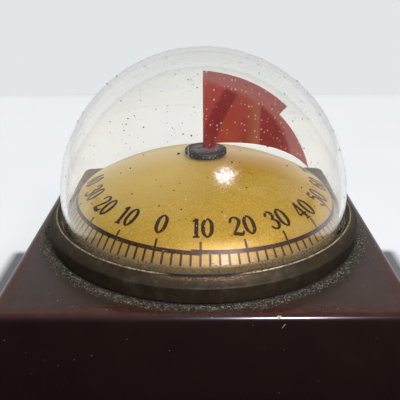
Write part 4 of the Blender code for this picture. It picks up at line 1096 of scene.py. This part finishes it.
# Painted shade on the wall, most round the sides.
wall_shade = ramp(tree, up, WALL_SHADE_HIGH, WALL_SHADE_LOW)
sides = ramp(tree, facing, -0.95, -0.6, 0.35, 0.85)
wall_shade = calc(tree, 'MULTIPLY', wall_shade, sides)
front = ramp(tree, facing, FRONT_EDGE, FRONT_FULL)
crest = ramp(tree, up, WORN_LOW, WORN_HIGH)
outside = ramp(tree, radius, WORN_INNER, WORN_OUTER)
worn = calc(tree, 'MULTIPLY', crest, outside)
worn = calc(tree, 'MULTIPLY', worn, rubbed)
# Painted shade: the gap under the dome, black along the crest at the front.
black = ramp(tree, up, GAP_SHADE_LOW, GAP_SHADE_HIGH)
black = calc(tree, 'MULTIPLY', black, front)
# Painted glint: coppery sparkling specks below the crest at the front.
band = ramp(tree, up, COPPER_GLINT_LOW, COPPER_GLINT_HIGH)
copper_glint = calc(tree, 'SUBTRACT', band, black, use_clamp=True)
copper_glint = calc(tree, 'MULTIPLY', copper_glint, front)
sparkle = patches(tree, spot, 0.28, 0.46, 0.60)
copper_glint = calc(tree, 'MULTIPLY', copper_glint, sparkle)
green = patches(tree, spot, 3.2, 0.58, 0.72, most=0.6, detail=5.0, roughness=0.7)
coloured = lay_over(tree, brown, (wall_shade, "#26190a"), (worn, "#cbb894"), (black, "#1d2427"),
                    (copper_glint, "#7c5932"), (green, "#4d5a45"))
shine = calc(tree, 'MAXIMUM', worn, copper_glint)
shine = ramp(tree, shine, first=0.30, last=0.9)
dull = ramp(tree, pit, 0.3, 0.7, 0.52, 0.78)
relief = bump(tree, pit, 0.35, 0.03)
add_surface(tree, {"Base Color": coloured, "Metallic": shine, "Roughness": dull, "Specular IOR Level": 0.18,
                   "Normal": relief})
bezel = finish_piece("bezel_turning", make_bezel_mesh(), tarnished, "case")
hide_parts("bezel_ring")


# Dust: grit caught in the corner between the bezel's foot and the base, a few crumbs lying loose, and finer
# dust inside the bezel's crest and on the dome's foot. All of it has settled and stuck over the years, with
# specks of soot and lint on the dome, two hairs, flecks on the dial and a crumb on the base's edge.
# Ranges of sizes, the crest's ring of dust and the places of lone crumbs are in millimetres.
CRUMB_SIDES = 5
CRUMB_GIRTH = (0.6, 1.1)
CRUMB_WARP = 0.2
GRIT_INNER = 35.35 * MM
GRIT_OUTER = 38.6 * MM
GRIT_EDGE = 37.5 * MM
GRIT_HEIGHT = 0.3 * MM
GRIT_SPREAD = (1.5, 3.0)
GRAINS = 3800
GRAIN_SIZES = (0.07, 0.19)
GRAIN_FLATNESS = (0.5, 0.9)
CLUSTERS = 400
LUMPS = (2, 7)
LUMP_SIZES = (0.06, 0.22)
LUMP_FLATNESS = (0.4, 0.8)
LUMP_SHIFT = 0.2 * MM
LUMP_TURN = 0.03
LUMP_SINK = 0.3
LUMP_SHRINK = 0.5
LONE_CRUMBS = ((-31.5, -30.5), (-27.0, -33.5), (30.5, -29.0), (-36.0, -12.0), (24.0, -36.5))
LONE_SIZE = 0.25 * MM
LONE_FLATNESS = 0.7
CREST_DUST = 700
CREST_DUST_TURN = 1.9
CREST_DUST_RING = (32.75, 33.2)
CREST_DUST_SIZES = (0.07, 0.17)
CREST_DUST_FLATNESS = 0.6
SKIRT_DUST = 2000
SKIRT_DUST_FOOT = BEZEL_CREST_TOP - 0.3 * MM
SKIRT_DUST_RISE = 3.2 * MM
SKIRT_DUST_FALL = (1.0, 3.5)
SKIRT_DUST_SIZES = (0.08, 0.20)
SKIRT_DUST_FLATNESS = 0.5
# The dome's foot was wiped at the front, out to this turn, and keeps this share of its dust there.
WIPED_TURN = 0.25
WIPED_LEAVES = 0.4
UPRIGHT = Vector((0.0, 0.0, 1.0))


def add_crumb(shape, place, facing, size, flatness, chance):
    """One small uneven lump on a surface that faces some way."""
    stand = facing.to_track_quat('Z', 'Y').to_matrix()
    turns = [chance.uniform(0.0, 1.0) + 2 * math.pi * corner / CRUMB_SIDES for corner in range(CRUMB_SIDES)]
    girth = [chance.uniform(*CRUMB_GIRTH) * size for corner in turns]
    points = []
    for turn, wide in zip(turns, girth):
        lift = chance.uniform(-CRUMB_WARP, CRUMB_WARP) * size * flatness
        corner = Vector((wide * math.cos(turn), wide * math.sin(turn), lift))
        points.append(shape.verts.new(place + stand @ corner))
    for rise in (size * flatness, -size * flatness):
        tip = shape.verts.new(place + stand @ Vector((0.0, 0.0, rise)))
        for corner in range(CRUMB_SIDES):
            shape.faces.new((points[corner - 1], points[corner], tip))


def grit_room(turn):
    """How far out the grit may lie from the bezel's foot: to its ring, or to the base's edge if nearer."""
    edge = GRIT_EDGE / max(abs(math.sin(turn)), abs(math.cos(turn)))
    return min(GRIT_OUTER, edge) - GRIT_INNER


def round_axis(radius, turn, height):
    """A place round the upright axis, its turn counted from the front."""
    return Vector((radius * math.sin(turn), -radius * math.cos(turn), height))


def make_grit_mesh():
    """A rim of fine grit, lumps in clusters, lone crumbs, and dust in the crest and on the dome's foot."""
    chance = random.Random(11)
    shape = bmesh.new()
    for grain in range(GRAINS):
        turn = chance.uniform(0.0, 2 * math.pi)
        size = chance.uniform(*GRAIN_SIZES) * MM
        radius = GRIT_INNER + size + chance.betavariate(*GRIT_SPREAD) * grit_room(turn)
        place = round_axis(radius, turn, BASE_TOP + chance.random() * GRIT_HEIGHT)
        add_crumb(shape, place, UPRIGHT, size, chance.uniform(*GRAIN_FLATNESS), chance)
    for cluster in range(CLUSTERS):
        turn = chance.uniform(0.0, 2 * math.pi)
        out = chance.betavariate(*GRIT_SPREAD)
        for lump in range(chance.randint(*LUMPS)):
            size = chance.uniform(*LUMP_SIZES) * MM * (1.0 - LUMP_SHRINK * out)
            radius = GRIT_INNER + size + grit_room(turn) * out + chance.uniform(-LUMP_SHIFT, LUMP_SHIFT)
            angle = turn + chance.uniform(-LUMP_TURN, LUMP_TURN)
            place = round_axis(radius, angle, BASE_TOP + LUMP_SINK * size)
            add_crumb(shape, place, UPRIGHT, size, chance.uniform(*LUMP_FLATNESS), chance)
    for x, y in LONE_CRUMBS:
        add_crumb(shape, Vector((x * MM, y * MM, BASE_TOP)), UPRIGHT, LONE_SIZE, LONE_FLATNESS, chance)
    for grain in range(CREST_DUST):
        turn = chance.uniform(-CREST_DUST_TURN, CREST_DUST_TURN)
        place = round_axis(chance.uniform(*CREST_DUST_RING) * MM, turn, BEZEL_LAND)
        size = chance.uniform(*CREST_DUST_SIZES) * MM
        add_crumb(shape, place, UPRIGHT, size, CREST_DUST_FLATNESS, chance)
    for grain in range(SKIRT_DUST):
        turn = chance.gauss(0.0, 1.0)
        height = SKIRT_DUST_FOOT + chance.betavariate(*SKIRT_DUST_FALL) * SKIRT_DUST_RISE
        size = chance.uniform(*SKIRT_DUST_SIZES) * MM
        if abs(turn) > WIPED_TURN or chance.random() < WIPED_LEAVES:
            place = round_axis(DOME_RADIUS, turn, height)
            add_crumb(shape, place, round_axis(1.0, turn, 0.0), size, SKIRT_DUST_FLATNESS, chance)
    return shape


# House dust: matt olive-grey grit with sandy and dark grains.
grit, tree, spot = start_material("house_dust_grit")
grain = noise(tree, spot, 0.4, 2.0)
colour = add_node(tree, "ValToRGB", {"Fac": grain},
                  stops=((0.30, "#3a382a"), (0.5, "#6f6a53"), (0.70, "#bfb99d")))
relief = bump(tree, grain, 0.4, 0.05)
add_surface(tree, {"Base Color": colour, "Roughness": 0.9, "Normal": relief})
foot_grit = finish_piece("foot_grit", make_grit_mesh(), grit, "case")


def plain_dust(name, dark, light):
    """A matt dust with small uneven tones."""
    material, tree, spot = start_material(name)
    tone = noise(tree, spot, 0.6, 2.0)
    colour = add_node(tree, "ValToRGB", {"Fac": tone}, stops=((0.35, dark), (0.65, light)))
    add_surface(tree, {"Base Color": colour, "Roughness": 0.9})
    return material


SPECK_LOW = 0.02
SPECK_HIGH = 0.97
SPECK_FLATNESS = 0.6
GATHER_SPREAD = 1.5 * MM


def make_specks_mesh(seed, count, smallest, largest, gathered):
    """Specks scattered over the dome's outside, some gathered round the wiped spot, sized in millimetres."""
    chance = random.Random(seed)
    shape = bmesh.new()
    middle = Vector((0.0, 0.0, DOME_MIDDLE))
    for speck in range(count + gathered):
        turn = chance.uniform(0.0, 2 * math.pi)
        height = chance.uniform(SPECK_LOW, SPECK_HIGH)
        across = math.sqrt(1.0 - height ** 2)
        facing = Vector((across * math.cos(turn), across * math.sin(turn), height))
        size = (smallest + (largest - smallest) * chance.random() ** 2) * MM
        if speck >= count:
            shift = Vector([chance.gauss(0.0, GATHER_SPREAD) for axis in range(3)])
            facing = (WIPED_SPOT + shift - middle).normalized()
            size = smallest * MM
        add_crumb(shape, middle + facing * DOME_RADIUS, facing, size, SPECK_FLATNESS, chance)
    return shape


# The hairs' ends in millimetres: one is stuck on the dome and one on the base's front face.
DOME_HAIR = ((-2.69, -26.09, 57.16), (-2.68, -27.17, 55.59))
BASE_HAIR = ((13.81, -39.0, 27.74), (14.34, -38.95, 28.48))
HAIR_HALF = 0.05 * MM
HAIR_SIDES = 5


def make_hairs_mesh():
    """Two short round hairs of lint."""
    shape = bmesh.new()
    for hair in DOME_HAIR, BASE_HAIR:
        ends = [Vector(end) * MM for end in hair]
        along = (ends[1] - ends[0]).normalized()
        side = along.orthogonal().normalized() * HAIR_HALF
        angles = [2 * math.pi * corner / HAIR_SIDES for corner in range(HAIR_SIDES)]
        spokes = [Matrix.Rotation(angle, 3, along) @ side for angle in angles]
        rings = [add_loop(shape, [end + spoke for spoke in spokes]) for end in ends]
        add_wall(shape, *rings)
        for ring in rings:
            add_flat(shape, ring)
    return shape


# The flecks on the dial in millimetres: where each is, seen from above, and its size.
DIAL_FLECKS = ((-5.62, 1.17, 0.52), (-4.96, -13.18, 0.20), (-2.84, -5.67, 0.20), (-8.83, -13.48, 0.18))
FLECK_FLATNESS = 0.8


def make_dial_flecks_mesh():
    """The few dark flecks on the dial's face."""
    chance = random.Random(5)
    shape = bmesh.new()
    for x, y, size in DIAL_FLECKS:
        height = DIAL_CENTRE + dial_rise(math.hypot(x, y) * MM, 0.0)
        add_crumb(shape, Vector((x * MM, y * MM, height)), UPRIGHT, size * MM, FLECK_FLATNESS, chance)
    return shape


EDGE_CRUMB = Vector((13.2 * MM, -38.55 * MM, BASE_TOP - 0.45 * MM))
EDGE_CRUMB_FACING = Vector((0.0, -0.6, 0.8))
EDGE_CRUMB_LUMPS = 5
EDGE_CRUMB_SIZE = 0.34 * MM
EDGE_CRUMB_SPREAD = 0.25
EDGE_CRUMB_DEPTH = 0.4
EDGE_CRUMB_FLATNESS = 0.7


def make_edge_crumb_mesh():
    """One larger crumb caught on the base's front top edge."""
    chance = random.Random(2)
    shape = bmesh.new()
    for lump in range(EDGE_CRUMB_LUMPS):
        shift = Vector([chance.uniform(-EDGE_CRUMB_SPREAD, EDGE_CRUMB_SPREAD) * MM for axis in range(3)])
        shift.y *= EDGE_CRUMB_DEPTH
        place = EDGE_CRUMB + shift
        add_crumb(shape, place, EDGE_CRUMB_FACING, EDGE_CRUMB_SIZE, EDGE_CRUMB_FLATNESS, chance)
    return shape


# Soot is nearly black, lint nearly white, and the crumb a pale straw yellow. All are matt, and the specks
# are drawn a little large to show.
soot = plain_dust("soot", "#2b241d", "#433a30")
lint = plain_dust("pale_lint", "#d3cfc6", "#efece4")
crumb = plain_dust("dry_crumb", "#e0d6a0", "#f8f2cc")
dome_soot = make_specks_mesh(23, 400, 0.11, 0.25, 12)
dome_lint = make_specks_mesh(29, 380, 0.08, 0.17, 140)
for name, mesh, dust, slot in (("dome_soot", dome_soot, soot, "clear_glass"),
                               ("dome_lint", dome_lint, lint, "clear_glass"),
                               ("lint_hairs", make_hairs_mesh(), lint, "clear_glass"),
                               ("dial_flecks", make_dial_flecks_mesh(), soot, "gilt_brass"),
                               ("edge_crumb", make_edge_crumb_mesh(), crumb, "phenolic")):
    finish_piece(name, mesh, dust, "case")


# Stage: a pale table that runs back to a paler room, a small lamp by the camera, and soft light from behind
# and from the sides. The front of the room is dark, and so is the table there for all but the camera.
TABLE_BACK = 0.265
TABLE_REACH = 1.0
table_shape = bmesh.new()
corners = [(-TABLE_REACH, -TABLE_REACH), (TABLE_REACH, -TABLE_REACH)]
corners += [(TABLE_REACH, TABLE_BACK), (-TABLE_REACH, TABLE_BACK)]
table_shape.faces.new([table_shape.verts.new((*corner, 0.0)) for corner in corners])
table_mesh = bpy.data.meshes.new("table")
table_shape.to_mesh(table_mesh)
table_shape.free()


def follow_rays(tree):
    """The kinds of ray, whether one has yet to bounce, and whether it has only passed clear pieces."""
    kinds = add_node(tree, "LightPath", {}).node.outputs
    bounced = calc(tree, 'ADD', kinds["Diffuse Depth"], kinds["Glossy Depth"])
    direct = calc(tree, 'LESS_THAN', bounced, 0.5)
    through = calc(tree, 'MULTIPLY', direct, kinds["Is Transmission Ray"])
    return kinds, direct, through


# White paper: matt, with a faint unevenness. A glow keeps it pale, in front for the camera's view alone.
# Shadows fall on it, and two painted strips beside the base stand for where its bulk hides the light.
DARK_FRONT = -0.020
DARK_FADE = 0.02
SHADOW_REACH = 61.5 * MM
SHADOW_BACK = 40.0 * MM
SHADOW_BLUR = 1.5 * MM
SHADOW_DEPTH = 0.80
FAR_EDGE = 12.0 * MM
FAR_LIGHT = 0.93
PAPER_GLOW = 0.33
PAPER_GLOW_THROUGH = 0.09
paper, tree, spot = start_material("white_table_paper")
tooth = noise(tree, spot, 30.0, 3.0)
white = add_node(tree, "ValToRGB", {"Fac": tooth}, stops=((0.3, "#f0f2f4"), (0.7, "#f3f5f6")))
_, direct, through = follow_rays(tree)
place = add_node(tree, "SeparateXYZ", {"Vector": spot})
depth = place.node.outputs["Y"]
behind = ramp(tree, depth, DARK_FRONT - DARK_FADE, DARK_FRONT + DARK_FADE)
shown = calc(tree, 'MAXIMUM', direct, behind)
# Painted shade: the table in front is dark for all rays but the camera's.
colour = add_node(tree, "Mix", {0: shown, 6: linear("#1a1a1a"), 7: white}, out=2, data_type='RGBA')
side = calc(tree, 'ABSOLUTE', place)
side = ramp(tree, side, SHADOW_REACH + SHADOW_BLUR, SHADOW_REACH - SHADOW_BLUR)
beside = calc(tree, 'ABSOLUTE', depth)
beside = ramp(tree, beside, SHADOW_BACK + SHADOW_BLUR, SHADOW_BACK - SHADOW_BLUR)
shade = calc(tree, 'MULTIPLY', side, beside)
lit = calc(tree, 'MULTIPLY_ADD', shade, -SHADOW_DEPTH, 1.0)
# Painted shade: the paper darkens towards its back edge.
far = ramp(tree, depth, TABLE_BACK - FAR_EDGE, TABLE_BACK, 1.0, FAR_LIGHT)
lit = calc(tree, 'MULTIPLY', lit, far)
colour = add_node(tree, "Mix", {0: lit, 6: linear("#000000"), 7: colour}, out=2, data_type='RGBA')
sheet = add_node(tree, "BsdfDiffuse", {"Color": colour})
lift = calc(tree, 'MULTIPLY_ADD', through, PAPER_GLOW_THROUGH, PAPER_GLOW)
lift = calc(tree, 'MULTIPLY', lift, shown)
lift = calc(tree, 'MULTIPLY', lift, lit)
glow = add_node(tree, "Emission", {"Color": white, "Strength": lift})
surface = add_node(tree, "AddShader", {0: sheet, 1: glow})
add_node(tree, "OutputMaterial", {"Surface": surface})
table_mesh.materials.append(paper)
table = bpy.data.objects.new("table", table_mesh)
bpy.context.scene.collection.objects.link(table)

# The lamp is two in one place: the soft one lights matt surfaces, and the bright one shows in glossy ones.
LAMP_PLACE = Vector((0.0306, -0.1095, 0.1047))
LAMP_AIM = Vector((0.0, 0.0, 0.045))
LAMP_WIDTH = 0.023
LAMP_HEIGHT = 0.014
SOFT_POWER = 0.058
BRIGHT_POWER = 0.27
for lamp_name, lamp_power, shines in (("soft_lamp", SOFT_POWER, False),
                                      ("bright_lamp", BRIGHT_POWER, True)):
    lamp = bpy.data.lights.new(lamp_name, 'AREA')
    lamp.shape = 'ELLIPSE'
    lamp.size = LAMP_WIDTH
    lamp.size_y = LAMP_HEIGHT
    lamp.energy = lamp_power
    lamp.color = linear("#f6efff")[:3]
    lamp_place = bpy.data.objects.new(lamp_name, lamp)
    lamp_place.location = LAMP_PLACE
    lamp_place.rotation_euler = (LAMP_AIM - LAMP_PLACE).to_track_quat('-Z', 'Y').to_euler()
    lamp_place.visible_camera = False
    lamp_place.visible_glossy = shines
    lamp_place.visible_diffuse = not shines
    bpy.context.scene.collection.objects.link(lamp_place)

# The room: a pale backdrop for the camera, also through clear pieces, painted a little darker low down as
# the shade where it meets the table's back edge. As light it is bright behind and at the sides, dimmer
# overhead and dark at the front. Matt surfaces take more of it than glossy ones.
ROOM_FOOT_HIGH = -0.2142
ROOM_FOOT_LOW = -0.2226
ROOM_FOOT_LIGHT = 0.92
OVERHEAD_LIGHT = 0.42
FRONT_LIGHT = 0.07
CLEAR_GAIN = 0.17
MATT_GAIN = 0.65
GLOSS_LOSS = 0.22
world = bpy.data.worlds.new("surroundings")
bpy.context.scene.world = world
world.use_nodes = True
tree = world.node_tree
tree.nodes.clear()
kinds, _, through = follow_rays(tree)
seen = calc(tree, 'MAXIMUM', kinds["Is Camera Ray"], through)
clearer = calc(tree, 'MULTIPLY_ADD', through, CLEAR_GAIN, 1.0)
way = add_node(tree, "TexCoord", {}, out="Generated")
way = add_node(tree, "SeparateXYZ", {"Vector": way}).node.outputs
# Painted shade: the backdrop is a little darker low down.
foot = ramp(tree, way["Z"], ROOM_FOOT_HIGH, ROOM_FOOT_LOW, 1.0, ROOM_FOOT_LIGHT)
clearer = calc(tree, 'MULTIPLY', clearer, foot)
backdrop = add_node(tree, "Background", {"Color": linear("#e2e6e9"), "Strength": clearer})
over = ramp(tree, way["Z"], 0.25, 0.65)
front = ramp(tree, way["Y"], -0.05, -0.50)
below = ramp(tree, way["Z"], 0.95, 0.55)
front = calc(tree, 'MULTIPLY', front, below)
level = add_node(tree, "Mix", {0: over, 2: 1.0, 3: OVERHEAD_LIGHT}, data_type='FLOAT')
level = add_node(tree, "Mix", {0: front, 2: level, 3: FRONT_LIGHT}, data_type='FLOAT')
gain = calc(tree, 'MULTIPLY_ADD', kinds["Is Diffuse Ray"], MATT_GAIN, 1.0)
gain = calc(tree, 'MULTIPLY_ADD', kinds["Is Glossy Ray"], -GLOSS_LOSS, gain)
level = calc(tree, 'MULTIPLY', level, gain)
light = add_node(tree, "Background", {"Color": linear("#f7f8fa"), "Strength": level})
mixed = add_node(tree, "MixShader", {0: seen, 1: light, 2: backdrop})
add_node(tree, "OutputWorld", {"Surface": mixed})

# The camera looks down at the front from close by, a little rolled.
CAMERA_PLACE = (0.0, -0.1211, 0.0881)
CAMERA_DOWN = math.radians(23.45)
CAMERA_ROLL = math.radians(-0.24)
camera = bpy.data.cameras.new("camera")
camera.lens = 50.54
camera.sensor_width = 36.0
camera.shift_x = -0.00875
camera.clip_start = 0.001
camera_place = bpy.data.objects.new("camera", camera)
camera_place.location = CAMERA_PLACE
camera_tilt = Matrix.Rotation(math.pi / 2 - CAMERA_DOWN, 3, 'X')
camera_place.rotation_euler = (camera_tilt @ Matrix.Rotation(CAMERA_ROLL, 3, 'Z')).to_euler()
bpy.context.scene.collection.objects.link(camera_place)
bpy.context.scene.camera = camera_place

bpy.context.scene.view_settings.view_transform = 'Standard'
